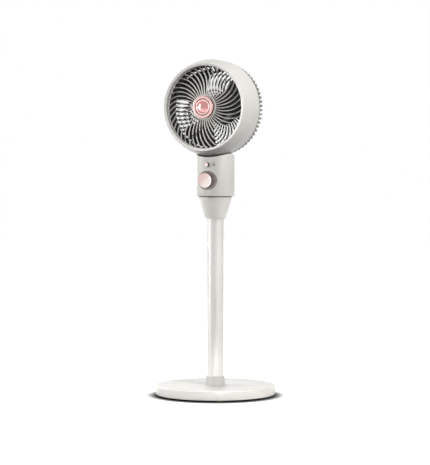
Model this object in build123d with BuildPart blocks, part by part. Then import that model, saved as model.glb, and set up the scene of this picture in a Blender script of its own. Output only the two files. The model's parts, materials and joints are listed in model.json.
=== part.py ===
from build123d import *
import os
from math import asin, atan, cos, degrees, pi, radians, sin, sqrt

# Air circulator fan on a column. Millimetres, +Z up. The origin is the middle of the footprint on the
# floor, and the fan blows towards -Y. A plain name is a size; "_z" and "_y" names are places.

os.makedirs("parts", exist_ok=True)

# ---- Fits ----
press_gap = 0.02  # radial gap of pieces that are pressed or glued together
running_gap = 0.05  # radial gap of a shaft in its bearing
slide_gap = 0.3  # gap between pieces that pass each other
screw_gap = 0.3  # radial gap of a screw in a through hole

# ---- Base ----
foot_height = 4.0
foot_radius = 9.0
foot_circle_radius = 136.0
foot_count = 6
base_radius = 156.5
base_height = 22.5
base_wall = 2.5
base_edge = 1.2
weight_thickness = 12.0
weight_gap = 0.5
base_screw_circle_radius = 118.0
base_screw_count = 3
base_boss_radius = 5.0
base_pad_radius = 30.0
cord_hole_radius = 3.1
cord_bore_radius = 2.4
cord_flange_radius = 5.2
cord_flange_thickness = 1.3
cord_flange_sink = 0.1
cord_bush_length = 5.0

# ---- Screws: shank radius, head radius, head height ----
base_screw = (1.75, 3.5, 2.2)
base_screw_length = 17.0
shell_screw = (1.6, 3.0, 2.4)
small_screw = (1.25, 2.4, 1.6)
screw_boss_wall = 1.5
shell_screw_shares = (0.25, 0.75)  # places on a pillar, as shares of its height

# ---- Column ----
stud_radius = 8.0
nut_flats = 24.0
nut_height = 6.5
nut_pocket_depth = 7.5
nut_pocket_radius = 16.0
tube_radius = 21.5
tube_wall = 1.5
plug_length = 40.0
collar_radius = 25.5
collar_end_radius = 23.6
collar_height = 23.5
collar_widest = 0.45  # share of its height
column_length = 434.5

# ---- Neck ----
neck_height = 55.0
neck_bottom_radius = 27.0
neck_top_radius = 43.2
neck_socket_depth = 26.0
turn_gap = 2.5
turn_ring_inset = 0.6
bearing_land_radius = 29.0
bearing_land_gap = 0.2
post_radius = 13.0
post_bore_radius = 9.0
post_height = 33.0

# ---- Control body ----
body_radius = 50.0
body_wall = 2.5
body_height = 100.5
body_seam = 0.5
saddle_gap = 3.5
cap_thickness = 2.5
pad_gap = 0.6
pad_inset = 4.0
knob_height = 40.5
button_height = 81.0

# ---- Frame inside the control body ----
frame_floor = 5.0
frame_gap = 0.3
frame_boss_radius = 18.0
frame_boss_height = 3.5
pillar_inset = 18.5
pillar_width = 8.0
pillar_depth = 26.0
deck_height = 43.0
deck_thickness = 5.0
deck_inset = 4.5
deck_front = 19.0
yoke_thickness = 5.0
yoke_foot_length = 26.0

# ---- Swing gears ----
tooth_module = 1.25
gear_teeth = 32
pinion_teeth = 16
gear_width = 7.0
gear_rise = 0.3
tooth_tip = 0.9  # shares of the module
tooth_root = 1.15
flank_slope = 0.42
mesh_gap = 0.1
tooth_backlash = 0.35
retainer_flats = 30.0
retainer_height = 5.0
pinion_shaft_radius = 2.4
motor_clearance = 3.0
motor_height = 17.0
motor_corner = 3.0
motor_socket = 9.0

# ---- Tilt joint ----
pivot_drop = 15.0
pivot_y = -8.0
tilt_limit = 20.0
knuckle_width = 20.0
knuckle_radius = 8.0
tilt_pin_radius = 3.5
yoke_side_gap = 0.3
slot_gap = 1.5
knuckle_screw_spacing = 10.0

# ---- Knob, button and lamp ----
bezel_radius = 25.4
bezel_rise = 1.0
knob_skirt_radius = 22.0
knob_skirt_height = 4.0
knob_radius = 19.4
knob_depth = 14.0
knob_cap_radius = 18.6
knob_cap_thickness = 1.4
knob_cap_recess = 0.9
knob_shaft_radius = 3.0
knob_shaft_depth = 9.0
shell_bore_radius = 6.0
button_radius = 5.8
button_rise = 6.8
button_travel = 2.5
button_sink = 1.6
button_switch_gap = 0.2
lamp_angle = 20.0
lamp_radius = 3.2
lamp_rise = 0.3
board_width = 56.0
board_thickness = 1.6
board_front_y = -24.0
board_below_knob = 20.0
board_above_button = 8.0
switch_side = 22.0
switch_depth = 12.0
switch_nose_radius = 5.0
button_switch_side = 9.0
board_boss_radius = 3.0
board_boss_inset = 4.0

# ---- Head ----
barrel_radius = 124.5
barrel_depth = 77.0
barrel_taper = 40.0
barrel_shoulder = 13.0
barrel_shoulder_inset = 6.5
rim_inset = 12.7
rim_bevel = 1.4
rim_outer_inset = 11.5
head_wall = 2.8
mouth_inset = 16.5
mouth_wall = 2.8
lip_depth = 15.0
grille_depth = 5.0
channel_start = 11.0
duct_wall = 2.5
duct_seat = 4.0
duct_length = 33.0
barrel_front_y = -75.0

# ---- Front grille ----
front_rib_count = 42
rib_width = 2.2
rib_sweep = 19.0
rib_runs = 4
dome_rise = 9.0
hub_radius = 32.5
hub_recess_radius = 28.3
hub_recess = 2.0
grille_ring_width = 2.0
rib_root = 0.8

# ---- Hub cap ----
hub_cap_side = 5.0
hub_cap_height = 11.0
hub_cap_ring_radius = 24.5
hub_dish_radius = 18.5
hub_dish_floor_radius = 16.0
hub_dish_depth = 5.0

# ---- Impeller ----
blade_count = 3
blade_thickness = 2.6
blade_pitch = 17.0
blade_start = 22.0
blade_root_reach = 22.0
blade_root_chord = 30.0
blade_lead_middle = (52.0, -49.0)
blade_trail_middle = (65.0, 27.0)
blade_lead_overreach = -23.5
blade_lead_end = -106.5
blade_trail_overreach = 23.5
blade_trail_end = 52.0
blade_mid_y = -33.0
tip_gap = 4.0
impeller_hub_radius = 28.0
impeller_hub_front_y = -43.0
impeller_hub_depth = 38.0
shaft_radius = 4.0
shaft_socket = 26.0
shaft_nose = 9.0
impeller_nut_radius = 9.0
impeller_nut_height = 10.0

# ---- Motor ----
fan_motor_radius = 35.0
fan_motor_depth = 46.0
motor_nose_radius = 14.0
motor_nose = 4.0
motor_screw_circle_radius = 24.0
motor_screw_count = 3
motor_screw_length = 9.0

# ---- Rear grille ----
side_rib_count = 66
side_rib_width = 4.6
side_rib_depth = 7.5
side_rib_inset = 0.9
shoulder_inset = 4.1
shoulder_y = 38.0
back_inset = 20.5
back_y = 54.0
back_thickness = 4.5
back_ring_width = 6.0
back_rib_count = 42
back_rib_width = 3.2
back_rib_sweep = -26.0
back_rib_runs = 4
grille_flange = 4.0
grille_flange_inset = 0.3
grille_flange_width = 7.5
back_plate_radius = 41.0
rear_cap_radius = 38.0
rear_cap_height = 7.0
rear_cap_bevel = 4.0

# ---- Places worked out from the sizes ----
weight_top_z = foot_height + weight_thickness
base_top_z = foot_height + base_height
neck_bottom_z = base_top_z + column_length
neck_top_z = neck_bottom_z + neck_height
body_bottom_z = neck_top_z + turn_gap
knob_z = body_bottom_z + knob_height
button_z = body_bottom_z + button_height
head_z = body_bottom_z + body_height + saddle_gap + barrel_radius
pivot_z = head_z - barrel_radius - pivot_drop
floor_top_z = body_bottom_z + frame_floor
boss_top_z = floor_top_z + frame_boss_height
gear_z = boss_top_z + gear_rise
gear_top_z = gear_z + gear_width
deck_z = body_bottom_z + deck_height
post_top_z = neck_top_z + post_height
swing_motor_z = deck_z - motor_height
gear_distance = tooth_module * (gear_teeth + pinion_teeth) / 2 + mesh_gap
tube_top_z = neck_bottom_z + neck_socket_depth
nut_seat_z = foot_height + nut_pocket_depth
inner_radius = body_radius - body_wall
pillar_inner = inner_radius - pillar_inset
deck_radius = inner_radius - deck_inset
motor_side = sqrt(2 * (inner_radius - motor_clearance) ** 2 - gear_distance**2) - gear_distance
barrel_shoulder_radius = barrel_radius - barrel_shoulder_inset
rim_radius = barrel_radius - rim_inset
rim_outer_radius = barrel_radius - rim_outer_inset
mouth_radius = barrel_radius - mouth_inset
duct_radius = mouth_radius - duct_wall
side_rib_radius = barrel_radius - side_rib_inset
shoulder_radius = barrel_radius - shoulder_inset
back_radius = barrel_radius - back_inset
grille_flange_radius = barrel_radius - grille_flange_inset
barrel_back_y = barrel_front_y + barrel_depth
grille_front_y = barrel_front_y + lip_depth
grille_back_y = grille_front_y + grille_depth
hub_front_y = grille_front_y - dome_rise
bezel_front_y = -body_radius - bezel_rise
knob_back_y = bezel_front_y - slide_gap
knob_front_y = knob_back_y - knob_depth
button_front_y = -body_radius - button_rise
board_back_y = board_front_y + board_thickness
plate_front_y = back_y - back_thickness
motor_front_y = plate_front_y - fan_motor_depth
impeller_hub_back_y = impeller_hub_front_y + impeller_hub_depth
tip_radius = duct_radius - tip_gap
blade_lead_reach = tip_radius + blade_lead_overreach
blade_trail_reach = tip_radius + blade_trail_overreach

knuckle_screw_places = [(0, pivot_y + side * knuckle_screw_spacing / 2) for side in (-1, 1)]

head_axis = Axis((0, 0, head_z), (0, 1, 0))
head_section = Plane(origin=(0, 0, head_z), x_dir=(0, 1, 0), z_dir=(1, 0, 0))


def facing_front(y, z=head_z):
    """A plane across Y whose outward side is the front of the fan, -Y."""
    return Plane(origin=(0, y, z), x_dir=(1, 0, 0), z_dir=(0, -1, 0))


def swirl_rib(inner, outer, sweep, width, runs):
    """The face of one grille rib, whose turn grows with the square of its reach."""
    near, far = [], []
    for step in range(runs + 1):
        share = step / runs
        radius = inner + (outer - inner) * share
        turn = radians(sweep) * share**2
        lean = turn + atan(radius * 2 * radians(sweep) * share / (outer - inner))
        x, y = radius * cos(turn), radius * sin(turn)
        across_x, across_y = -sin(lean) * width / 2, cos(lean) * width / 2
        near.append((x + across_x, y + across_y))
        far.append((x - across_x, y - across_y))
    with BuildSketch() as rib:
        with BuildLine():
            Polyline(*near, *far[::-1], close=True)
        make_face()
    return rib.sketch


def gear_outline(teeth, turn):
    """Tooth corners of a spur gear with straight flanks, thinned by the backlash."""
    pitch = tooth_module * teeth / 2
    tip, root = pitch + tooth_module * tooth_tip, pitch - tooth_module * tooth_root
    half_pitch = (pi * tooth_module / 2 - tooth_backlash) / 2
    half_root = half_pitch + flank_slope * (pitch - root)
    half_tip = half_pitch - flank_slope * (tip - pitch)
    corners = []
    for tooth in range(teeth):
        middle = turn + tooth * 360 / teeth
        for radius, half, side in (
            (root, half_root, -1),
            (tip, half_tip, -1),
            (tip, half_tip, 1),
            (root, half_root, 1),
        ):
            angle = radians(middle + side * degrees(half / radius))
            corners.append((radius * cos(angle), radius * sin(angle)))
    return corners


# ======== Stand ========

# Steel weight that closes the base from below and carries the column's nut.
with BuildPart() as base_weight:
    with BuildSketch(Plane.XY.offset(foot_height)):
        Circle(base_radius - base_wall - weight_gap)
    extrude(amount=weight_thickness)
    with BuildSketch(Plane.XY.offset(foot_height)):
        Circle(nut_pocket_radius)
    extrude(amount=nut_pocket_depth, mode=Mode.SUBTRACT)
    with BuildSketch(Plane.XY.offset(foot_height)):
        Circle(stud_radius + screw_gap)
        with PolarLocations(base_screw_circle_radius, base_screw_count):
            Circle(base_screw[0] + screw_gap)
    extrude(amount=weight_thickness, mode=Mode.SUBTRACT)
base_weight.part.label = "base_weight"
export_step(base_weight.part, "parts/base_weight.step")

# Moulded cover with a pad over the weight, screw bosses and the cord's hole at the back.
cord_z = (weight_top_z + base_top_z - base_wall) / 2
with BuildPart() as base_cover:
    with BuildSketch(Plane.XY.offset(foot_height)):
        Circle(base_radius)
    extrude(amount=base_height)
    chamfer(base_cover.faces().sort_by(Axis.Z)[-1].edges(), base_edge)
    with BuildSketch(Plane.XY.offset(foot_height)):
        Circle(base_radius - base_wall)
    extrude(amount=base_height - base_wall, mode=Mode.SUBTRACT)
    with BuildSketch(Plane.XY.offset(weight_top_z)):
        Circle(base_pad_radius)
        with PolarLocations(base_screw_circle_radius, base_screw_count):
            Circle(base_boss_radius)
    extrude(amount=base_top_z - base_wall - weight_top_z)
    with BuildSketch(Plane.XY.offset(weight_top_z)):
        Circle(stud_radius + screw_gap)
    extrude(amount=base_height, mode=Mode.SUBTRACT)
    with BuildSketch(Plane.XY.offset(weight_top_z)):
        with PolarLocations(base_screw_circle_radius, base_screw_count):
            Circle(base_screw[0] + press_gap)
    extrude(amount=base_screw_length - weight_thickness + screw_gap, mode=Mode.SUBTRACT)
    with BuildSketch(facing_front(base_radius, cord_z)):
        Circle(cord_flange_radius + press_gap)
    extrude(amount=cord_flange_sink + cord_flange_thickness, mode=Mode.SUBTRACT)
    with BuildSketch(facing_front(base_radius, cord_z)):
        Circle(cord_hole_radius + press_gap)
    extrude(amount=cord_flange_sink + cord_bush_length, mode=Mode.SUBTRACT)
base_cover.part.label = "base_cover"
export_step(base_cover.part, "parts/base_cover.step")

with BuildPart() as base_feet:
    with BuildSketch():
        with PolarLocations(foot_circle_radius, foot_count):
            Circle(foot_radius)
    extrude(amount=foot_height)
base_feet.part.label = "base_feet"
export_step(base_feet.part, "parts/base_feet.step")

with BuildPart() as base_screws:
    with BuildSketch(Plane.XY.offset(foot_height)):
        with PolarLocations(base_screw_circle_radius, base_screw_count):
            RegularPolygon(base_screw[1], 6)
    extrude(amount=-base_screw[2])
    with BuildSketch(Plane.XY.offset(foot_height)):
        with PolarLocations(base_screw_circle_radius, base_screw_count):
            Circle(base_screw[0])
    extrude(amount=base_screw_length)
base_screws.part.label = "base_screws"
export_step(base_screws.part, "parts/base_screws.step")

# Bush for the supply cord, its flange sunk in the cover's back wall.
with BuildPart() as cord_grommet:
    with BuildSketch(facing_front(base_radius - cord_flange_sink, cord_z)):
        Circle(cord_flange_radius)
    extrude(amount=cord_flange_thickness)
    with BuildSketch(facing_front(base_radius - cord_flange_sink, cord_z)):
        Circle(cord_hole_radius)
    extrude(amount=cord_bush_length)
    with BuildSketch(facing_front(base_radius - cord_flange_sink, cord_z)):
        Circle(cord_bore_radius)
    extrude(amount=cord_bush_length, mode=Mode.SUBTRACT)
cord_grommet.part.label = "cord_grommet"
export_step(cord_grommet.part, "parts/cord_grommet.step")

with BuildPart() as column_nut:
    with BuildSketch(Plane.XY.offset(nut_seat_z)):
        RegularPolygon(nut_flats / 2, 6, major_radius=False)
        Circle(stud_radius + press_gap, mode=Mode.SUBTRACT)
    extrude(amount=-nut_height)
column_nut.part.label = "column_nut"
export_step(column_nut.part, "parts/column_nut.step")

# Plug in the foot of the tube, with the threaded stud that the nut pulls down.
with BuildPart() as column_plug:
    with BuildSketch(Plane.XY.offset(base_top_z)):
        Circle(tube_radius - tube_wall - press_gap)
    extrude(amount=plug_length)
    with BuildSketch(Plane.XY.offset(nut_seat_z - nut_height)):
        Circle(stud_radius)
    extrude(amount=base_top_z - nut_seat_z + nut_height)
column_plug.part.label = "column_plug"
export_step(column_plug.part, "parts/column_plug.step")

with BuildPart() as column_tube:
    with BuildSketch(Plane.XY.offset(base_top_z)):
        Circle(tube_radius)
        Circle(tube_radius - tube_wall, mode=Mode.SUBTRACT)
    extrude(amount=tube_top_z - base_top_z)
column_tube.part.label = "column_tube"
export_step(column_tube.part, "parts/column_tube.step")

# Collar, widest in the middle, around the foot of the tube.
with BuildPart() as column_collar:
    with BuildSketch(Plane.XZ):
        with BuildLine():
            Polyline(
                (tube_radius + press_gap, base_top_z),
                (collar_end_radius, base_top_z),
                (collar_radius, base_top_z + collar_height * collar_widest),
                (collar_end_radius, base_top_z + collar_height),
                (tube_radius + press_gap, base_top_z + collar_height),
                close=True,
            )
        make_face()
    revolve(axis=Axis.Z)
column_collar.part.label = "column_collar"
export_step(column_collar.part, "parts/column_collar.step")

# Neck: a cone with the tube's socket below and the bearing land that the control body turns on.
with BuildPart() as neck_cone:
    with BuildSketch(Plane.XZ):
        with BuildLine():
            Polyline(
                (tube_radius + press_gap, neck_bottom_z),
                (neck_bottom_radius, neck_bottom_z),
                (neck_top_radius, neck_top_z),
                (bearing_land_radius, neck_top_z),
                (bearing_land_radius, body_bottom_z - bearing_land_gap),
                (post_radius + press_gap, body_bottom_z - bearing_land_gap),
                (post_radius + press_gap, tube_top_z),
                (tube_radius + press_gap, tube_top_z),
                close=True,
            )
        make_face()
    revolve(axis=Axis.Z)
neck_cone.part.label = "neck_cone"
export_step(neck_cone.part, "parts/neck_cone.step")

# Glide ring on the neck, which fills the gap that the control body turns over.
with BuildPart() as turn_ring:
    with BuildSketch(Plane.XY.offset(neck_top_z)):
        Circle(neck_top_radius - turn_ring_inset)
        Circle(bearing_land_radius + slide_gap, mode=Mode.SUBTRACT)
    extrude(amount=turn_gap - bearing_land_gap)
turn_ring.part.label = "turn_ring"
export_step(turn_ring.part, "parts/turn_ring.step")

# Hollow spindle, fixed in the neck, that lets the wires through the swing joint.
with BuildPart() as swivel_post:
    with BuildSketch(Plane.XY.offset(tube_top_z)):
        Circle(post_radius)
        Circle(post_bore_radius, mode=Mode.SUBTRACT)
    extrude(amount=post_top_z - tube_top_z)
swivel_post.part.label = "swivel_post"
export_step(swivel_post.part, "parts/swivel_post.step")

# Fixed gear on the spindle, with a tooth towards the pinion at the back.
with BuildPart() as swing_gear:
    with BuildSketch(Plane.XY.offset(gear_z)):
        with BuildLine():
            Polyline(*gear_outline(gear_teeth, 90), close=True)
        make_face()
        Circle(post_radius + press_gap, mode=Mode.SUBTRACT)
    extrude(amount=gear_width)
swing_gear.part.label = "swing_gear"
export_step(swing_gear.part, "parts/swing_gear.step")

with BuildPart() as swivel_retainer:
    with BuildSketch(Plane.XY.offset(gear_top_z)):
        RegularPolygon(retainer_flats / 2, 6, major_radius=False)
        Circle(post_radius + press_gap, mode=Mode.SUBTRACT)
    extrude(amount=retainer_height)
swivel_retainer.part.label = "swivel_retainer"
export_step(swivel_retainer.part, "parts/swivel_retainer.step")

# ======== Control body ========

pillar_x = pillar_inner + pillar_width / 2
shell_screw_heights = [floor_top_z + (deck_z - floor_top_z) * share for share in shell_screw_shares]
shell_screw_places = [(x, z - head_z) for x in (-pillar_x, pillar_x) for z in shell_screw_heights]
yoke_inner = knuckle_width / 2 + yoke_side_gap

# Frame: bearing floor, two pillars, a deck for the swing motor and the yoke of the tilt joint.
with BuildPart() as swivel_frame:
    with BuildSketch(Plane.XY.offset(body_bottom_z)):
        Circle(inner_radius - frame_gap)
    extrude(amount=frame_floor)
    with BuildSketch(Plane.XY.offset(floor_top_z)):
        Circle(frame_boss_radius)
    extrude(amount=frame_boss_height)
    with BuildSketch(Plane.XY.offset(floor_top_z)):
        with Locations((-pillar_x, 0), (pillar_x, 0)):
            Rectangle(pillar_width, pillar_depth)
    extrude(amount=deck_z - floor_top_z)
    with BuildSketch(Plane.XY.offset(deck_z)):
        Circle(deck_radius)
        with Locations((0, -deck_front - deck_radius)):
            Rectangle(2 * deck_radius, 2 * deck_radius, mode=Mode.SUBTRACT)
    extrude(amount=deck_thickness)
    for side in (-1, 1):
        with BuildSketch(Plane.YZ.offset(side * yoke_inner)):
            with Locations((pivot_y, pivot_z)):
                Circle(knuckle_radius)
            with BuildLine():
                Polyline(
                    (pivot_y - knuckle_radius, pivot_z),
                    (pivot_y - knuckle_radius, deck_z + deck_thickness),
                    (pivot_y - knuckle_radius + yoke_foot_length, deck_z + deck_thickness),
                    (pivot_y + knuckle_radius, pivot_z),
                    close=True,
                )
            make_face()
        extrude(amount=side * yoke_thickness)
    with BuildSketch(Plane.XY.offset(body_bottom_z)):
        Circle(post_radius + running_gap)
    extrude(amount=frame_floor + frame_boss_height, mode=Mode.SUBTRACT)
    with BuildSketch(facing_front(0)):
        with Locations(*shell_screw_places):
            Circle(shell_screw[0] + screw_gap)
    extrude(amount=pillar_depth, both=True, mode=Mode.SUBTRACT)
    with BuildSketch(Plane.YZ):
        with Locations((pivot_y, pivot_z)):
            Circle(tilt_pin_radius + press_gap)
    extrude(amount=yoke_inner + yoke_thickness, both=True, mode=Mode.SUBTRACT)
swivel_frame.part.label = "swivel_frame"
export_step(swivel_frame.part, "parts/swivel_frame.step")

# The head's underside, level and at full tilt, which the top of the control body has to clear.
envelope_length = 2 * (barrel_depth + back_y)
level_head = Plane(origin=(0, 0, head_z), x_dir=(1, 0, 0), z_dir=(0, 1, 0))
pivot_axis = Axis((0, pivot_y, pivot_z), (1, 0, 0))


def head_clearance(radius):
    """Cylinders around the head, level and tilted back, to cut the saddle with."""
    with BuildPart() as level:
        with BuildSketch(level_head):
            Circle(radius)
        extrude(amount=envelope_length, both=True)
    return level.part + level.part.rotate(pivot_axis, -tilt_limit)


slot_top = pivot_drop - saddle_gap
slot_back = (knuckle_radius + slot_top * sin(radians(tilt_limit))) / cos(radians(tilt_limit))
slot_length = knuckle_radius + slot_back + 2 * slot_gap
slot_y = pivot_y + (slot_back - knuckle_radius) / 2
saddle_cut = head_clearance(barrel_radius + saddle_gap)
saddle_cavity = head_clearance(barrel_radius + saddle_gap + cap_thickness)


def half_disc(radius, side):
    """Half a disc on one side of the parting plane, set back by half the seam."""
    Circle(radius)
    with Locations((0, -side * (radius - body_seam / 2))):
        Rectangle(2 * radius, 2 * radius, mode=Mode.SUBTRACT)


def shell_half(side):
    """One half of the control body's casing: side -1 is the front, side 1 is the back."""
    with BuildPart() as cavity:
        with BuildSketch(Plane.XY.offset(body_bottom_z)):
            Circle(inner_radius)
        extrude(amount=head_z - body_bottom_z)
        add(saddle_cavity, mode=Mode.SUBTRACT)
    with BuildPart() as envelope:
        with BuildSketch(Plane.XY.offset(body_bottom_z)):
            half_disc(body_radius, side)
        extrude(amount=head_z - body_bottom_z)
        add(saddle_cut, mode=Mode.SUBTRACT)
    with BuildPart() as shell:
        add(envelope.part)
        add(cavity.part, mode=Mode.SUBTRACT)
        with BuildSketch(facing_front(side * (pillar_depth / 2 + slide_gap))):
            with Locations(*shell_screw_places):
                Circle(shell_screw[1] + screw_boss_wall)
        extrude(amount=-side * body_radius)
        add(envelope.part, mode=Mode.INTERSECT)
        with BuildSketch(Plane.XY.offset(pivot_z)):
            with Locations((0, slot_y)):
                Rectangle(knuckle_width + 2 * slot_gap, slot_length)
        extrude(amount=barrel_radius, mode=Mode.SUBTRACT)
    return shell.part


# Front casing with the places of the knob, the button, the lamp and the board.
lamp_x = body_radius * sin(radians(lamp_angle))
board_boss_x = board_width / 2 - board_boss_inset
board_low_z = knob_z - board_below_knob
board_top_z = button_z + board_above_button
lamp_plane = Plane(
    origin=(lamp_x, -body_radius * cos(radians(lamp_angle)), button_z),
    x_dir=(cos(radians(lamp_angle)), sin(radians(lamp_angle)), 0),
    z_dir=(sin(radians(lamp_angle)), -cos(radians(lamp_angle)), 0),
)
front_half = shell_half(-1)
with BuildPart() as control_front_shell:
    add(front_half)
    with BuildSketch(facing_front(board_front_y - slide_gap, button_z)):
        with Locations((-board_boss_x, 0), (board_boss_x, 0)):
            Circle(board_boss_radius)
    extrude(amount=inner_radius * cos(asin(board_boss_x / inner_radius)) + board_front_y + body_wall / 2)
    with BuildSketch(facing_front(0, knob_z)):
        Circle(shell_bore_radius)
        with Locations((0, button_z - knob_z)):
            Circle(button_radius + slide_gap)
    extrude(amount=2 * body_radius, mode=Mode.SUBTRACT)
    with BuildSketch(lamp_plane):
        Circle(lamp_radius + press_gap)
    extrude(amount=-2 * body_wall, mode=Mode.SUBTRACT)
    with BuildSketch(facing_front(0)):
        with Locations(*shell_screw_places):
            Circle(shell_screw[0] + press_gap)
    extrude(amount=pillar_depth, mode=Mode.SUBTRACT)
control_front_shell.part.label = "control_front_shell"
export_step(control_front_shell.part, "parts/control_front_shell.step")

# Rear casing with the sunk heads of the long screws.
head_seat_y = inner_radius * cos(asin(pillar_x / inner_radius)) - shell_screw[2]
rear_half = shell_half(1)
with BuildPart() as control_rear_shell:
    add(rear_half)
    with BuildSketch(facing_front(0)):
        with Locations(*shell_screw_places):
            Circle(shell_screw[0] + screw_gap)
    extrude(amount=-body_radius, mode=Mode.SUBTRACT)
    with BuildSketch(facing_front(head_seat_y)):
        with Locations(*shell_screw_places):
            Circle(shell_screw[1] + screw_gap)
    extrude(amount=-body_radius, mode=Mode.SUBTRACT)
control_rear_shell.part.label = "control_rear_shell"
export_step(control_rear_shell.part, "parts/control_rear_shell.step")

# Felt pad in the saddle, which closes the gap under the head and clears it at every tilt.
with BuildPart() as saddle_pad:
    with BuildSketch(Plane.XY.offset(body_bottom_z)):
        Circle(body_radius - pad_inset)
    extrude(amount=head_z - body_bottom_z)
    add(saddle_cut, mode=Mode.INTERSECT)
    add(head_clearance(barrel_radius + pad_gap), mode=Mode.SUBTRACT)
    with BuildSketch(Plane.XY.offset(body_bottom_z)):
        with Locations((0, slot_y)):
            Rectangle(knuckle_width + 2 * slot_gap, slot_length)
    extrude(amount=head_z - body_bottom_z, mode=Mode.SUBTRACT)
saddle_pad.part.label = "saddle_pad"
export_step(saddle_pad.part, "parts/saddle_pad.step")

with BuildPart() as shell_screws:
    with BuildSketch(facing_front(head_seat_y)):
        with Locations(*shell_screw_places):
            Circle(shell_screw[1])
    extrude(amount=-shell_screw[2])
    with BuildSketch(facing_front(head_seat_y)):
        with Locations(*shell_screw_places):
            Circle(shell_screw[0])
    extrude(amount=head_seat_y + pillar_depth - slide_gap)
shell_screws.part.label = "shell_screws"
export_step(shell_screws.part, "parts/shell_screws.step")

with BuildPart() as swing_motor:
    with BuildSketch(Plane.XY.offset(swing_motor_z)):
        with Locations((0, gear_distance)):
            RectangleRounded(motor_side, motor_side, motor_corner)
    extrude(amount=motor_height)
    with BuildSketch(Plane.XY.offset(swing_motor_z)):
        with Locations((0, gear_distance)):
            Circle(pinion_shaft_radius + running_gap)
    extrude(amount=motor_socket + slide_gap, mode=Mode.SUBTRACT)
swing_motor.part.label = "swing_motor"
export_step(swing_motor.part, "parts/swing_motor.step")

# Pinion on the motor's shaft, with a gap between teeth towards the fixed gear.
with BuildPart() as swing_pinion:
    with BuildSketch(Plane((0, gear_distance, gear_z))):
        with BuildLine():
            Polyline(*gear_outline(pinion_teeth, 180 / pinion_teeth), close=True)
        make_face()
    extrude(amount=gear_width)
    with BuildSketch(Plane.XY.offset(gear_top_z)):
        with Locations((0, gear_distance)):
            Circle(pinion_shaft_radius)
    extrude(amount=swing_motor_z + motor_socket - gear_top_z)
swing_pinion.part.label = "swing_pinion"
export_step(swing_pinion.part, "parts/swing_pinion.step")

with BuildPart() as control_board:
    with BuildSketch(facing_front(board_back_y, board_low_z)):
        Rectangle(board_width, board_top_z - board_low_z, align=(Align.CENTER, Align.MIN))
    extrude(amount=board_thickness)
control_board.part.label = "control_board"
export_step(control_board.part, "parts/control_board.step")

# Rotary switch on the board: its nose fills the bore in the casing behind the bezel.
switch_front_y = board_front_y - switch_depth
with BuildPart() as speed_switch:
    with BuildSketch(facing_front(board_front_y, knob_z)):
        Rectangle(switch_side, switch_side)
    extrude(amount=switch_depth)
    with BuildSketch(facing_front(switch_front_y, knob_z)):
        Circle(switch_nose_radius)
    extrude(amount=body_radius - body_wall + switch_front_y)
    with BuildSketch(facing_front(-inner_radius, knob_z)):
        Circle(knob_shaft_radius + running_gap)
    extrude(amount=-knob_shaft_depth, mode=Mode.SUBTRACT)
speed_switch.part.label = "speed_switch"
export_step(speed_switch.part, "parts/speed_switch.step")

button_back_y = -inner_radius + button_travel + slide_gap + button_sink
switch_tip_y = button_back_y + button_travel + button_switch_gap
with BuildPart() as button_switch:
    with BuildSketch(facing_front(board_front_y, button_z)):
        Rectangle(button_switch_side, button_switch_side)
    extrude(amount=board_front_y - switch_tip_y)
button_switch.part.label = "button_switch"
export_step(button_switch.part, "parts/button_switch.step")

with BuildPart() as indicator_lens:
    with BuildSketch(lamp_plane.offset(lamp_rise)):
        Circle(lamp_radius)
    extrude(amount=-lamp_rise - body_wall)
indicator_lens.part.label = "indicator_lens"
export_step(indicator_lens.part, "parts/indicator_lens.step")

# Bezel under the knob, curved at its back to lie on the casing.
with BuildPart() as knob_bezel:
    with BuildSketch(facing_front(bezel_front_y, knob_z)):
        Circle(bezel_radius)
        Circle(shell_bore_radius, mode=Mode.SUBTRACT)
    extrude(amount=-body_wall - bezel_radius / 2)
    with BuildSketch(Plane.XY.offset(body_bottom_z)):
        Circle(body_radius)
    extrude(amount=body_height, mode=Mode.SUBTRACT)
knob_bezel.part.label = "knob_bezel"
export_step(knob_bezel.part, "parts/knob_bezel.step")

with BuildPart() as tilt_pin:
    with BuildSketch(Plane.YZ):
        with Locations((pivot_y, pivot_z)):
            Circle(tilt_pin_radius)
    extrude(amount=yoke_inner + yoke_thickness, both=True)
tilt_pin.part.label = "tilt_pin"
export_step(tilt_pin.part, "parts/tilt_pin.step")

# ======== Knob and button ========

knob_shaft_end_y = -inner_radius + knob_shaft_depth - slide_gap

with BuildPart() as speed_knob:
    with BuildSketch(facing_front(knob_back_y, knob_z)):
        Circle(knob_skirt_radius)
    extrude(amount=knob_skirt_height)
    with BuildSketch(facing_front(knob_back_y, knob_z)):
        Circle(knob_radius)
    extrude(amount=knob_depth)
    with BuildSketch(facing_front(knob_front_y, knob_z)):
        Circle(knob_cap_radius + press_gap)
    extrude(amount=-knob_cap_recess, mode=Mode.SUBTRACT)
    with BuildSketch(facing_front(knob_back_y, knob_z)):
        Circle(knob_shaft_radius)
    extrude(amount=knob_back_y - knob_shaft_end_y)
speed_knob.part.label = "speed_knob"
export_step(speed_knob.part, "parts/speed_knob.step")

with BuildPart() as knob_cap:
    with BuildSketch(facing_front(knob_front_y + knob_cap_recess, knob_z)):
        Circle(knob_cap_radius)
    extrude(amount=knob_cap_thickness)
knob_cap.part.label = "knob_cap"
export_step(knob_cap.part, "parts/knob_cap.step")

with BuildPart() as swing_button:
    with BuildSketch(facing_front(button_front_y, button_z)):
        Circle(button_radius)
    extrude(amount=button_front_y - button_back_y)
swing_button.part.label = "swing_button"
export_step(swing_button.part, "parts/swing_button.step")

# ======== Head ========

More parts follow.
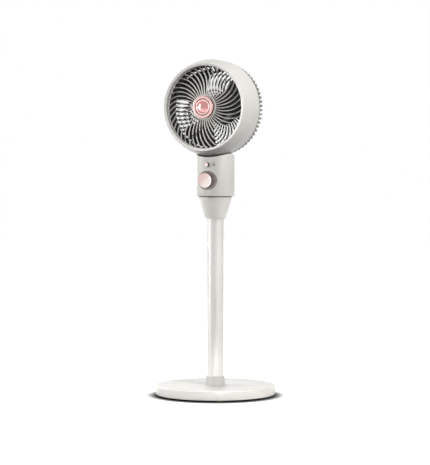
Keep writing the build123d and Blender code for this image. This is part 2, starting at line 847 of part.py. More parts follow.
# Barrel: the outer drum, the rim, the lip and the seat of the front grille and the duct, hollow
# between the seat and the drum.
channel_floor_radius = barrel_shoulder_radius - head_wall - (barrel_shoulder - channel_start) * (
    (barrel_shoulder_radius - rim_outer_radius) / (barrel_shoulder - rim_bevel)
)
with BuildPart() as barrel:
    with BuildSketch(head_section):
        with BuildLine():
            Polyline(
                (barrel_back_y, barrel_radius),
                (barrel_front_y + barrel_taper, barrel_radius),
                (barrel_front_y + barrel_shoulder, barrel_shoulder_radius),
                (barrel_front_y + rim_bevel, rim_outer_radius),
                (barrel_front_y, rim_radius),
                (grille_front_y, mouth_radius),
                (grille_back_y + duct_seat, mouth_radius),
                (grille_back_y + duct_seat, mouth_radius + mouth_wall),
                (barrel_front_y + channel_start, mouth_radius + mouth_wall),
                (barrel_front_y + channel_start, channel_floor_radius),
                (barrel_front_y + barrel_taper, barrel_radius - head_wall),
                (barrel_back_y, barrel_radius - head_wall),
                close=True,
            )
        make_face()
    revolve(axis=head_axis)
    with BuildSketch(Plane.XY.offset(head_z - barrel_radius + 2 * head_wall)):
        with Locations(*knuckle_screw_places):
            Circle(small_screw[0] + screw_gap)
    extrude(amount=-3 * head_wall, mode=Mode.SUBTRACT)
barrel.part.label = "barrel"
export_step(barrel.part, "parts/barrel.step")

with BuildPart() as air_duct:
    with BuildSketch(facing_front(grille_back_y + duct_length)):
        Circle(mouth_radius - press_gap)
        Circle(duct_radius, mode=Mode.SUBTRACT)
    extrude(amount=duct_length)
air_duct.part.label = "air_duct"
export_step(air_duct.part, "parts/air_duct.step")

# Front grille: rim, hub and swirling ribs moulded as one, domed so that the hub stands forward.
grille_ring_inner = mouth_radius - grille_ring_width
front_rib = swirl_rib(hub_radius - rib_root, grille_ring_inner + rib_root, rib_sweep, rib_width, rib_runs)
with BuildPart() as front_grille:
    with BuildSketch(facing_front(grille_back_y)):
        with PolarLocations(0, front_rib_count):
            add(front_rib)
    extrude(amount=grille_depth + dome_rise)
    with BuildSketch(head_section):
        with BuildLine():
            Polyline(
                (hub_front_y, 0),
                (hub_front_y, hub_radius),
                (grille_front_y, grille_ring_inner),
                (grille_front_y, mouth_radius),
                (grille_back_y, mouth_radius),
                (grille_back_y, grille_ring_inner),
                (hub_front_y + grille_depth, hub_radius),
                (hub_front_y + grille_depth, 0),
                close=True,
            )
        make_face()
    revolve(axis=head_axis, mode=Mode.INTERSECT)
    with BuildSketch(facing_front(grille_back_y)):
        Circle(mouth_radius - press_gap)
        Circle(grille_ring_inner, mode=Mode.SUBTRACT)
    extrude(amount=grille_depth)
    with BuildSketch(facing_front(hub_front_y + grille_depth)):
        Circle(hub_radius)
    extrude(amount=grille_depth)
    with BuildSketch(facing_front(hub_front_y)):
        Circle(hub_recess_radius)
    extrude(amount=-hub_recess, mode=Mode.SUBTRACT)
front_grille.part.label = "front_grille"
export_step(front_grille.part, "parts/front_grille.step")

# Polished cap on the hub: a stepped ring around a shallow dish.
cap_back_y = hub_front_y + hub_recess
with BuildPart() as hub_cap:
    with BuildSketch(head_section):
        with BuildLine():
            Polyline(
                (cap_back_y, 0),
                (cap_back_y, hub_recess_radius - press_gap),
                (cap_back_y - hub_cap_side, hub_recess_radius - press_gap),
                (cap_back_y - hub_cap_height, hub_cap_ring_radius),
                (cap_back_y - hub_cap_height, hub_dish_radius),
                (cap_back_y - hub_cap_height + hub_dish_depth, hub_dish_floor_radius),
                (cap_back_y - hub_cap_height + hub_dish_depth, 0),
                close=True,
            )
        make_face()
    revolve(axis=head_axis)
hub_cap.part.label = "hub_cap"
export_step(hub_cap.part, "parts/hub_cap.step")

# Knuckle under the barrel, rounded about the tilt pin.
with BuildPart() as tilt_knuckle:
    with BuildSketch(Plane.YZ):
        with Locations((pivot_y, pivot_z)):
            Circle(knuckle_radius)
            Rectangle(2 * knuckle_radius, 2 * pivot_drop, align=(Align.CENTER, Align.MIN))
    extrude(amount=knuckle_width / 2, both=True)
    with BuildSketch(level_head):
        Circle(barrel_radius)
    extrude(amount=envelope_length, both=True, mode=Mode.SUBTRACT)
    with BuildSketch(Plane.YZ):
        with Locations((pivot_y, pivot_z)):
            Circle(tilt_pin_radius + running_gap)
    extrude(amount=knuckle_width, both=True, mode=Mode.SUBTRACT)
    with BuildSketch(Plane.XY.offset(head_z - barrel_radius + head_wall)):
        with Locations(*knuckle_screw_places):
            Circle(small_screw[0] + press_gap)
    extrude(amount=-head_wall - pivot_drop / 2, mode=Mode.SUBTRACT)
tilt_knuckle.part.label = "tilt_knuckle"
export_step(tilt_knuckle.part, "parts/tilt_knuckle.step")

with BuildPart() as knuckle_screws:
    with BuildSketch(Plane.XY.offset(head_z - barrel_radius + head_wall + press_gap)):
        with Locations(*knuckle_screw_places):
            Circle(small_screw[1])
    extrude(amount=small_screw[2])
    with BuildSketch(Plane.XY.offset(head_z - barrel_radius + head_wall + press_gap)):
        with Locations(*knuckle_screw_places):
            Circle(small_screw[0])
    extrude(amount=-head_wall - pivot_drop / 2 + screw_gap)
knuckle_screws.part.label = "knuckle_screws"
export_step(knuckle_screws.part, "parts/knuckle_screws.step")

# Rear grille: flange on the barrel, ribs along the side and over the shoulder, a back ring,
# swirling back ribs and the plate that carries the motor.
back_ring_inner = back_radius - back_ring_width
back_rib = swirl_rib(
    back_plate_radius - rib_root, back_ring_inner + rib_root, back_rib_sweep, back_rib_width, back_rib_runs
)
with BuildPart() as side_rib:
    with BuildSketch(head_section.offset(-side_rib_width / 2)):
        with BuildLine():
            Polyline(
                (barrel_back_y + grille_flange / 2, side_rib_radius),
                (shoulder_y, shoulder_radius),
                (back_y - rib_root, back_radius - rib_root),
                (back_y - back_thickness + rib_root, back_radius - rib_root),
                (shoulder_y - side_rib_depth / 2, shoulder_radius - side_rib_depth),
                (barrel_back_y + grille_flange / 2, side_rib_radius - side_rib_depth),
                close=True,
            )
        make_face()
    extrude(amount=side_rib_width)
with BuildPart() as rear_grille:
    with BuildSketch(facing_front(barrel_back_y)):
        Circle(grille_flange_radius)
        Circle(grille_flange_radius - grille_flange_width, mode=Mode.SUBTRACT)
    extrude(amount=-grille_flange)
    add([side_rib.part.rotate(head_axis, rib * 360 / side_rib_count) for rib in range(side_rib_count)])
    with BuildSketch(facing_front(back_y)):
        Circle(back_radius)
        Circle(back_ring_inner, mode=Mode.SUBTRACT)
        Circle(back_plate_radius)
        with PolarLocations(0, back_rib_count):
            add(back_rib)
    extrude(amount=back_thickness)
    with BuildSketch(facing_front(back_y)):
        with PolarLocations(motor_screw_circle_radius, motor_screw_count):
            Circle(shell_screw[0] + screw_gap)
    extrude(amount=back_thickness, mode=Mode.SUBTRACT)
rear_grille.part.label = "rear_grille"
export_step(rear_grille.part, "parts/rear_grille.step")

# Fan motor on the back plate, with the shaft's bearing in its nose.
with BuildPart() as motor_housing:
    with BuildSketch(facing_front(plate_front_y)):
        Circle(fan_motor_radius)
    extrude(amount=fan_motor_depth)
    with BuildSketch(facing_front(motor_front_y + motor_nose)):
        Circle(fan_motor_radius)
        Circle(motor_nose_radius, mode=Mode.SUBTRACT)
    extrude(amount=motor_nose, mode=Mode.SUBTRACT)
    with BuildSketch(facing_front(motor_front_y)):
        Circle(shaft_radius + running_gap)
    extrude(amount=-shaft_socket - slide_gap, mode=Mode.SUBTRACT)
    with BuildSketch(facing_front(plate_front_y)):
        with PolarLocations(motor_screw_circle_radius, motor_screw_count):
            Circle(shell_screw[0] + press_gap)
    extrude(amount=motor_screw_length, mode=Mode.SUBTRACT)
motor_housing.part.label = "motor_housing"
export_step(motor_housing.part, "parts/motor_housing.step")

with BuildPart() as motor_screws:
    with BuildSketch(facing_front(back_y)):
        with PolarLocations(motor_screw_circle_radius, motor_screw_count):
            RegularPolygon(shell_screw[1], 6)
    extrude(amount=-shell_screw[2])
    with BuildSketch(facing_front(back_y)):
        with PolarLocations(motor_screw_circle_radius, motor_screw_count):
            Circle(shell_screw[0])
    extrude(amount=back_thickness + motor_screw_length - screw_gap)
motor_screws.part.label = "motor_screws"
export_step(motor_screws.part, "parts/motor_screws.step")

# Cap over the motor screws.
with BuildPart() as rear_cap:
    with BuildSketch(head_section):
        with BuildLine():
            Polyline(
                (back_y, rear_cap_radius - head_wall),
                (back_y, rear_cap_radius),
                (back_y + rear_cap_height - rear_cap_bevel, rear_cap_radius),
                (back_y + rear_cap_height, rear_cap_radius - rear_cap_bevel),
                (back_y + rear_cap_height, 0),
                (back_y + rear_cap_height - head_wall, 0),
                (back_y + rear_cap_height - head_wall, rear_cap_radius - head_wall),
                close=True,
            )
        make_face()
    revolve(axis=head_axis)
rear_cap.part.label = "rear_cap"
export_step(rear_cap.part, "parts/rear_cap.step")

# ======== Impeller ========


def blade(start):
    """A flat blade, pitched about its spoke, with its leading edge at the back and its tip ahead."""
    turn, pitch = radians(start), radians(blade_pitch)
    spoke = Vector(cos(turn), 0, sin(turn))
    chord = Vector(-sin(turn) * cos(pitch), -sin(pitch), cos(turn) * cos(pitch))
    plane = Plane(origin=(0, blade_mid_y, head_z), x_dir=spoke, z_dir=spoke.cross(chord))
    with BuildPart() as solid:
        with BuildSketch(plane):
            with BuildLine():
                lead = ThreePointArc(
                    (blade_root_reach, -blade_root_chord / 2),
                    blade_lead_middle,
                    (blade_lead_reach, blade_lead_end),
                )
                tip = Line(lead @ 1, (blade_trail_reach, blade_trail_end))
                trail = ThreePointArc(tip @ 1, blade_trail_middle, (blade_root_reach, blade_root_chord / 2))
                Line(trail @ 1, lead @ 0)
            make_face()
        extrude(amount=blade_thickness / 2, both=True)
    return solid.part


with BuildPart() as impeller:
    with BuildSketch(facing_front(impeller_hub_back_y)):
        Circle(impeller_hub_radius)
    extrude(amount=impeller_hub_depth)
    add([blade(blade_start + turn * 360 / blade_count) for turn in range(blade_count)])
    with BuildSketch(facing_front(barrel_back_y)):
        Circle(tip_radius)
    extrude(amount=barrel_depth, mode=Mode.INTERSECT)
    with BuildSketch(facing_front(impeller_hub_back_y)):
        Circle(shaft_radius + press_gap)
    extrude(amount=impeller_hub_depth, mode=Mode.SUBTRACT)
impeller.part.label = "impeller"
export_step(impeller.part, "parts/impeller.step")

with BuildPart() as motor_shaft:
    with BuildSketch(facing_front(motor_front_y + shaft_socket)):
        Circle(shaft_radius)
    extrude(amount=motor_front_y + shaft_socket - impeller_hub_front_y + shaft_nose)
motor_shaft.part.label = "motor_shaft"
export_step(motor_shaft.part, "parts/motor_shaft.step")

with BuildPart() as impeller_nut:
    with BuildSketch(facing_front(impeller_hub_front_y)):
        RegularPolygon(impeller_nut_radius, 6)
    extrude(amount=impeller_nut_height)
    with BuildSketch(facing_front(impeller_hub_front_y)):
        Circle(shaft_radius + press_gap)
    extrude(amount=shaft_nose + press_gap, mode=Mode.SUBTRACT)
impeller_nut.part.label = "impeller_nut"
export_step(impeller_nut.part, "parts/impeller_nut.step")
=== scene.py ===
"""Looks of an air circulator fan on a column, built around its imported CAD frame.

Every length is in metres, in the CAD frame: +Z is up and the fan blows towards -Y.
"""

import json
import logging
import math
from collections.abc import Mapping, Sequence
from dataclasses import dataclass, field
from enum import Enum

import bmesh
import bpy
from mathutils import Matrix, Vector


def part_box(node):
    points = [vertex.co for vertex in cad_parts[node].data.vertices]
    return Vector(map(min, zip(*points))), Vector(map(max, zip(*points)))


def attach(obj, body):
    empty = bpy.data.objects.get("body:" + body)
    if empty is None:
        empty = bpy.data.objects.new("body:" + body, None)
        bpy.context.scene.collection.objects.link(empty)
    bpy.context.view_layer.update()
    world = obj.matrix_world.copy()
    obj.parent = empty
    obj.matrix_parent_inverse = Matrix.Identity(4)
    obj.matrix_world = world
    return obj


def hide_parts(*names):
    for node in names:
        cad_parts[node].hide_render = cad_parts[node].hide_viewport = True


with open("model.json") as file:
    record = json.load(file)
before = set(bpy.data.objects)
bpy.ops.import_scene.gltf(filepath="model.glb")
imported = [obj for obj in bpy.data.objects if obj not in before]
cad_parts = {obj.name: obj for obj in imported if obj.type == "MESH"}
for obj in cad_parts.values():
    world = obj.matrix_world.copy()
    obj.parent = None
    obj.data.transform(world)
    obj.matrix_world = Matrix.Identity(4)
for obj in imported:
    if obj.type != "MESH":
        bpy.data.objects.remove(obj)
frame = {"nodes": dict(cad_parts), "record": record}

LOG = logging.getLogger("circulator")

Colour = tuple[float, float, float]
Corner = tuple[float, ...]
Place = tuple[float, float, float]
Pair = tuple[float, float]
Inputs = Mapping[str | int, object]
Mesh = bmesh.types.BMesh
Socket = bpy.types.NodeSocket
Outputs = Mapping[str, Socket]

IMAGE_SIZE = (430, 465)
FULL_TURN = 2 * math.pi
WELD = 2e-6  # points that are nearer than this become one
TOUCHING = 1e-7  # points that are nearer than this need no edge between them
SNUG = 0.00003  # play between a turned piece and the tube or post in it
CUT_LIMIT = 0.49  # share of a side that the rounding of one corner may take
SHARP_TURNED, SHARP_SOFTENED, SHARP_RIBBED = 32.0, 40.0, 50.0  # degrees from which an edge shows

# A bar's length lies along a radius, or along the spindle.
BAR_ON_RADIUS = Matrix(((0, 0, 1, 0), (1, 0, 0, 0), (0, 1, 0, 0), (0, 0, 0, 1)))
BAR_ON_LINE = Matrix(((0, 1, 0, 0), (1, 0, 0, 0), (0, 0, 1, 0), (0, 0, 0, 1)))


# ---- nodes


@dataclass(frozen=True)
class Nodes:
    """The nodes of a material or of the surroundings."""

    tree: bpy.types.NodeTree

    def feed(self, node: bpy.types.Node, inputs: Inputs) -> None:
        """Give a node its inputs.

        Args:
            node: The node.
            inputs: Value of each input, or the socket that feeds it.
        """
        for key, value in inputs.items():
            if isinstance(value, Socket):
                self.tree.links.new(value, node.inputs[key])
            else:
                node.inputs[key].default_value = value

    def add(self, kind: str, inputs: Inputs | None = None, **options: str) -> Outputs:
        """Add a node.

        Args:
            kind: Kind of node.
            inputs: Value of each input that isn't left as it is, or the socket that feeds it.
            options: Settings of the node itself.

        Returns:
            The outputs of the node.
        """
        node = self.tree.nodes.new(f"ShaderNode{kind}")
        for name, choice in options.items():
            setattr(node, name, choice)
        self.feed(node, inputs or {})
        return node.outputs

    def maths(self, operation: str, *values: object) -> Socket:
        """Add an operation on numbers and return its result."""
        return self.add("Math", dict(enumerate(values)), operation=operation)["Value"]

    def vector(self, operation: str, *values: object) -> Outputs:
        """Add an operation on vectors and return its outputs."""
        return self.add("VectorMath", dict(enumerate(values)), operation=operation)

    def blend(self, share: Socket, first: object, second: object) -> Socket:
        """Mix two colours by a share and return the result."""
        return self.add("Mix", {"Factor": share, "A": first, "B": second}, data_type="RGBA")["Result"]

    def ramp(self, value: Socket, reach: Pair, levels: Pair = (0.0, 1.0), way: str = "SMOOTHSTEP") -> Socket:
        """Let a level follow a value.

        Args:
            value: The value.
            reach: Values between which the level changes.
            levels: Levels at these two.
            way: How it changes between them.

        Returns:
            The level.
        """
        ends = dict(zip(("From Min", "From Max", "To Min", "To Max"), (*reach, *levels)))
        return self.add("MapRange", {"Value": value, **ends}, interpolation_type=way)["Result"]


# ---- finishes


DRIFT_SCALE, DRIFT_DETAIL = 14.0, 3.0
NOISE_SPAN = (0.3, 0.7)  # levels between which nearly all of a noise lies
ROUGH_SPAN = (0.9, 1.12)  # shares of the mean roughness at these levels
DISC_EDGE = (0.9, 1.1)  # shares of a disc's radius between which the colours pass
GRADIENT_SPAN = (-0.5, 0.5)  # shares of a gradient's reach between which the colours pass
COAT_ROUGHNESS = 0.12
RELIEF_HEIGHT = 0.0004


class Grain(Enum):
    """Kind of fine relief that a finish carries, with the detail of its noise."""

    MOULDED = 1.5
    SPUN = 2.0
    CAST = 5.0


@dataclass(frozen=True)
class Finish:
    """How a surface looks: its colour, its shine and its fine relief.

    Attributes:
        name: Name of the finish.
        colour: Linear red, green and blue.
        roughness: Mean roughness.
        metallic: 0 for plastic and paint, 1 for bare metal.
        coat: Weight of the clear coat.
        shine: Level of the mirror share of a plastic or a paint.
        drift: Share by which the colour drifts over the surface.
        grain: Kind of relief.
        grain_scale: Grains a metre.
        relief: Strength of the relief, from 0 to 1.
        centre: Middle of the gradient, of the disc and of the tool's circles on a spun face.
        second: Colour that the first passes into over the piece, if it has one.
        gradient: Direction of the passage, as long as one over its reach in metres.
        disc: Distance from the centre at which the colours pass instead, if it isn't zero.
    """

    name: str
    colour: Colour
    roughness: float
    metallic: float = 0.0
    coat: float = 0.0
    shine: float = 0.5
    drift: float = 0.03
    grain: Grain = Grain.MOULDED
    grain_scale: float = 1800.0
    relief: float = 0.08
    centre: Place = (0.0, 0.0, 0.0)
    second: Colour | None = None
    gradient: Place = (0.0, 0.0, 0.0)
    disc: float = 0.0

    def material(self) -> bpy.types.Material:
        """Build the node material, or return it where it is already made.

        Returns:
            The material.
        """
        label = f"{self.name}_look"
        made = bpy.data.materials.get(label)
        if made:
            return made
        made = bpy.data.materials.new(label)
        made.use_nodes = True
        made.diffuse_color = (*self.colour, 1.0)
        nodes = Nodes(made.node_tree)
        shift = {"Vector": nodes.add("TexCoord")["Object"], "Location": [-c for c in self.centre]}
        spot = nodes.add("Mapping", shift, vector_type="POINT")["Vector"]
        cloud = nodes.add("TexNoise", {"Vector": spot, "Scale": DRIFT_SCALE, "Detail": DRIFT_DETAIL})["Fac"]
        dark, light = self._drifted(-self.drift), self._drifted(self.drift)
        least, most = (self.roughness * share for share in ROUGH_SPAN)
        inputs = {
            "Metallic": self.metallic,
            "Coat Weight": self.coat,
            "Coat Roughness": COAT_ROUGHNESS,
            "Specular IOR Level": self.shine,
            "Base Color": self._graded(nodes, spot, nodes.blend(cloud, dark, light)),
            "Roughness": nodes.ramp(cloud, NOISE_SPAN, (least, most), "LINEAR"),
            "Normal": self._relief(nodes, spot),
        }
        nodes.feed(made.node_tree.nodes["Principled BSDF"], inputs)
        return made

    def _drifted(self, share: float) -> tuple[float, ...]:
        """Return the colour with its alpha, lighter by a share."""
        return (*[min(1.0, c * (1 + share)) for c in self.colour], 1.0)

    def _graded(self, nodes: Nodes, spot: Socket, plain: Socket) -> Socket:
        """Let the colour pass into the second one across the piece.

        Args:
            nodes: The material's nodes.
            spot: The place on the piece.
            plain: The colour without the gradient.

        Returns:
            The colour with the gradient, or the plain one where there is none.
        """
        if self.second is None:
            return plain
        if self.disc:
            start, end = (self.disc * edge for edge in DISC_EDGE)
            share = nodes.ramp(self._reach(nodes, spot), (start, end))
        else:
            share = nodes.ramp(nodes.vector("DOT_PRODUCT", spot, self.gradient)["Value"], GRADIENT_SPAN)
        return nodes.blend(share, plain, (*self.second, 1.0))

    def _reach(self, nodes: Nodes, spot: Socket) -> Socket:
        """Measure how far the place is from the line that runs through the centre to the back."""
        flat = nodes.vector("MULTIPLY", spot, (1.0, 0.0, 1.0))["Vector"]
        return nodes.vector("LENGTH", flat)["Value"]

    def _relief(self, nodes: Nodes, spot: Socket) -> Socket:
        """Make the fine relief of the finish, as a bump.

        Args:
            nodes: The material's nodes.
            spot: The place on the piece.

        Returns:
            The normal.
        """
        inputs = {"Scale": self.grain_scale, "Detail": self.grain.value}
        if self.grain is Grain.SPUN:
            rings = {"W": self._reach(nodes, spot), **inputs}
            height = nodes.add("TexNoise", rings, noise_dimensions="1D")["Fac"]
        else:
            height = nodes.add("TexNoise", {"Vector": spot, **inputs})["Fac"]
        bump = {"Strength": self.relief, "Distance": RELIEF_HEIGHT, "Height": height}
        return nodes.add("Bump", bump)["Normal"]


# ---- workshop


def put(name: str, data: bpy.types.ID) -> bpy.types.Object:
    """Add an object to the scene.

    Args:
        name: Name of the object.
        data: Its mesh, light or camera.

    Returns:
        The object.
    """
    thing = bpy.data.objects.new(name, data)
    bpy.context.scene.collection.objects.link(thing)
    return thing


def settled(mesh: Mesh, name: str) -> bpy.types.Mesh:
    """Turn a mesh that is being built into mesh data.

    Args:
        mesh: The mesh, which is freed.
        name: Name of the data.

    Returns:
        The data.
    """
    data = bpy.data.meshes.new(name)
    mesh.to_mesh(data)
    mesh.free()
    return data


def extent(node: str) -> tuple[float, float, float]:
    """Return where a CAD node starts and ends, front to back, and how far it reaches aside."""
    low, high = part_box(node)
    return low.y, high.y, high.x


@dataclass(frozen=True)
class Spindle:
    """A line that round pieces are turned about.

    Attributes:
        origin: A point on the line.
        axis: Direction of the line.
        out: Direction, square to the line, in which radii are measured.
    """

    origin: Vector
    axis: Vector
    out: Vector

    def point(self, radius: float, along: float) -> Vector:
        """Return the point at a radius and at a distance along the line."""
        return self.origin + self.out * radius + self.axis * along

    def frame(self, angle: float = 0.0) -> Matrix:
        """Return the matrix with X along the radius, Y along the turn and Z along the line."""
        basis = Matrix((self.out, self.axis.cross(self.out), self.axis)).transposed().to_4x4()
        return Matrix.Translation(self.origin) @ basis @ Matrix.Rotation(angle, 4, "Z")


@dataclass
class Workshop:
    """Makes pieces, gives them their finish and puts them on their bodies.

    Attributes:
        record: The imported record.
        finishes: Finish of each material slot, and of the pieces that differ from their slot.
        replaced: CAD nodes that a piece already stands for.
        flat_angle: Angle up to which two faces of a CAD node count as one.
        edge_angle: Angle from which an edge of a CAD node is rounded.
    """

    record: dict
    finishes: dict[str, Finish]
    replaced: set[str] = field(default_factory=set)
    flat_angle: float = math.radians(0.4)
    edge_angle: float = math.radians(38.0)

    def __post_init__(self) -> None:
        """Look up the body and the slot of each node."""
        self.body_of = {n: b for b, nodes in self.record["behaviour"]["bodies"].items() for n in nodes}
        self.slot_of = {s["node"]: s["material_slot"] for s in self.record["subparts"]}

    def finish(
        self, mesh: Mesh, name: str, node: str, sharp: float = SHARP_TURNED, shade: str = ""
    ) -> None:
        """Turn a mesh into a piece that stands for a CAD node.

        Args:
            mesh: The mesh, which is freed.
            name: Name of the piece.
            node: The CAD node that it replaces.
            sharp: Angle, in degrees, from which an edge shows as sharp.
            shade: Name of the finish, where it isn't that of the slot.
        """
        bmesh.ops.remove_doubles(mesh, verts=mesh.verts[:], dist=WELD)
        bmesh.ops.recalc_face_normals(mesh, faces=mesh.faces[:])
        for face in mesh.faces:
            face.smooth = True
        for edge in mesh.edges:
            edge.smooth = edge.calc_face_angle(0.0) < math.radians(sharp)
        piece = put(name, settled(mesh, name))
        slot = self.slot_of[node]
        piece.data.materials.append(self.finishes[shade or slot].material())
        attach(piece, self.body_of[node])
        if node not in self.replaced:
            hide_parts(node)
            self.replaced.add(node)
        LOG.info("%s: %d faces, for %s", name, len(piece.data.polygons), node)

    def softened(self, node: str, name: str, radius: float, segments: int = 2, shade: str = "") -> None:
        """Copy a CAD node, with its sharp edges rounded.

        Args:
            node: The CAD node.
            name: Name of the piece.
            radius: Radius of the rounded edges.
            segments: Faces across a rounded edge.
            shade: Name of the finish, where it isn't that of the slot.
        """
        mesh = bmesh.new()
        mesh.from_mesh(frame["nodes"][node].data)
        mesh.transform(frame["nodes"][node].matrix_world)
        bmesh.ops.remove_doubles(mesh, verts=mesh.verts[:], dist=WELD)
        bmesh.ops.dissolve_limit(
            mesh, verts=mesh.verts[:], edges=mesh.edges[:],
            angle_limit=self.flat_angle, use_dissolve_boundaries=False,
        )
        edges = [edge for edge in mesh.edges if edge.calc_face_angle(0.0) > self.edge_angle]
        bmesh.ops.bevel(
            mesh, geom=edges, affect="EDGES", offset=radius, offset_type="OFFSET",
            segments=segments, profile=0.5, material=-1, clamp_overlap=True,
        )
        self.finish(mesh, name, node, sharp=SHARP_SOFTENED, shade=shade)

    def keep_rest(self) -> None:
        """Give each CAD node that still shows the finish of its slot."""
        for node, thing in frame["nodes"].items():
            if node in self.replaced:
                continue
            for holder in thing.material_slots:
                holder.link = "OBJECT"
                holder.material = self.finishes[self.slot_of[node]].material()
            LOG.info("%s: carried over", node)


def bend(start: Vector, corner: Vector, end: Vector, steps: int) -> list[Vector]:
    """Return the points of a curve that rounds a corner."""
    shares = [step / steps for step in range(steps + 1)]
    return [start.lerp(corner, share).lerp(corner.lerp(end, share), share) for share in shares]


def rounded(corners: Sequence[Corner], steps: int = 5) -> list[Pair]:
    """Round the corners of a closed outline.

    Args:
        corners: Radius and distance along the line of each corner, and its fillet if it has one.
        steps: Faces across a fillet.

    Returns:
        The points of the rounded outline.
    """
    points: list[Pair] = []
    for index, (radius, along, *fillet) in enumerate(corners):
        if not fillet:
            points.append((radius, along))
            continue
        here = Vector((radius, along))
        before = Vector(corners[index - 1][:2]) - here
        after = Vector(corners[(index + 1) % len(corners)][:2]) - here
        half = before.angle(after) / 2
        cut = min(fillet[0] / math.tan(half), before.length * CUT_LIMIT, after.length * CUT_LIMIT)
        start, end = here + before.normalized() * cut, here + after.normalized() * cut
        points += [(spot.x, spot.y) for spot in bend(start, here, end, steps)]
    return points


def lathe(spindle: Spindle, outline: Sequence[Pair], steps: int = 128) -> Mesh:
    """Turn a closed outline about a spindle.

    Args:
        spindle: The line to turn about.
        outline: Radius and distance along the line of each point.
        steps: Faces around the turn.

    Returns:
        The turned mesh.
    """
    mesh = bmesh.new()
    points = [mesh.verts.new(spindle.point(radius, along)) for radius, along in outline]
    sides = zip(points, points[1:] + points[:1])
    edges = [mesh.edges.new(side) for side in sides if (side[0].co - side[1].co).length > TOUCHING]
    bmesh.ops.spin(
        mesh, geom=points + edges, cent=spindle.origin, axis=spindle.axis, dvec=(0, 0, 0),
        angle=FULL_TURN, steps=steps, use_merge=True, use_duplicate=False,
    )
    bmesh.ops.remove_doubles(mesh, verts=mesh.verts[:], dist=WELD)
    return mesh


def repeated(mesh: Mesh, spindle: Spindle, count: int) -> Mesh:
    """Repeat the whole mesh evenly around a spindle.

    Args:
        mesh: The mesh to repeat.
        spindle: The line to turn about.
        count: Number of copies, the first included.

    Returns:
        The same mesh.
    """
    whole = mesh.verts[:] + mesh.edges[:] + mesh.faces[:]
    bmesh.ops.spin(
        mesh, geom=whole, cent=spindle.origin, axis=spindle.axis, dvec=(0, 0, 0),
        angle=FULL_TURN * (count - 1) / count, steps=count - 1, use_merge=False, use_duplicate=True,
    )
    return mesh


def join(target: Mesh, other: Mesh) -> None:
    """Add a mesh to another.

    Args:
        target: The mesh that takes the other.
        other: The mesh that is added, which is freed.
    """
    carrier = settled(other, "carrier")
    target.from_mesh(carrier)
    bpy.data.meshes.remove(carrier)


def bar(width: float, depth: float, round_share: float, stations: Sequence[Matrix]) -> Mesh:
    """Sweep a bar with rounded edges through a row of stations.

    Args:
        width: Width of the bar, along each station's X.
        depth: Depth of the bar, along each station's Y.
        round_share: Share of the smaller of the two taken by the rounding of each edge.
        stations: Place and turn of the section at each station.

    Returns:
        The bar.
    """
    mesh = bmesh.new()
    section = bmesh.ops.create_grid(mesh, x_segments=1, y_segments=1, size=0.5)["verts"]
    bmesh.ops.scale(mesh, vec=(width, depth, 1.0), verts=section)
    radius = min(width, depth) * round_share
    bmesh.ops.bevel(
        mesh, geom=mesh.verts[:], affect="VERTICES", offset=radius, offset_type="OFFSET",
        segments=2, profile=0.5, material=-1,
    )
    bmesh.ops.transform(mesh, matrix=stations[0], verts=mesh.verts[:])
    face = mesh.faces[:]
    for here, there in zip(stations, stations[1:]):
        grown = bmesh.ops.extrude_face_region(mesh, geom=face, use_keep_orig=here is stations[0])["geom"]
        face = [g for g in grown if isinstance(g, bmesh.types.BMFace)]
        moved = [g for g in grown if isinstance(g, bmesh.types.BMVert)]
        bmesh.ops.transform(mesh, matrix=there @ here.inverted(), verts=moved)
    return mesh


def swirl(line: Spindle, reach: Pair, sweep: float, heights: Sequence[float]) -> list[Matrix]:
    """Lay the stations of a rib that swirls out from a hub.

    Args:
        line: The line that the hub is on.
        reach: Radius at which the rib starts and ends.
        sweep: Turn from its start to its end.
        heights: Distance along the line at each station.

    Returns:
        The stations.
    """
    inner, outer = reach
    stations = []
    for step, along in enumerate(heights):
        share = step / (len(heights) - 1)
        radius = inner + (outer - inner) * share
        lean = math.atan(radius * 2 * sweep * share / (outer - inner))
        place = line.frame(-sweep * share**2) @ Matrix.Translation((radius, 0.0, along))
        stations.append(place @ Matrix.Rotation(-lean, 4, "Z") @ BAR_ON_RADIUS)
    return stations


# ---- stand


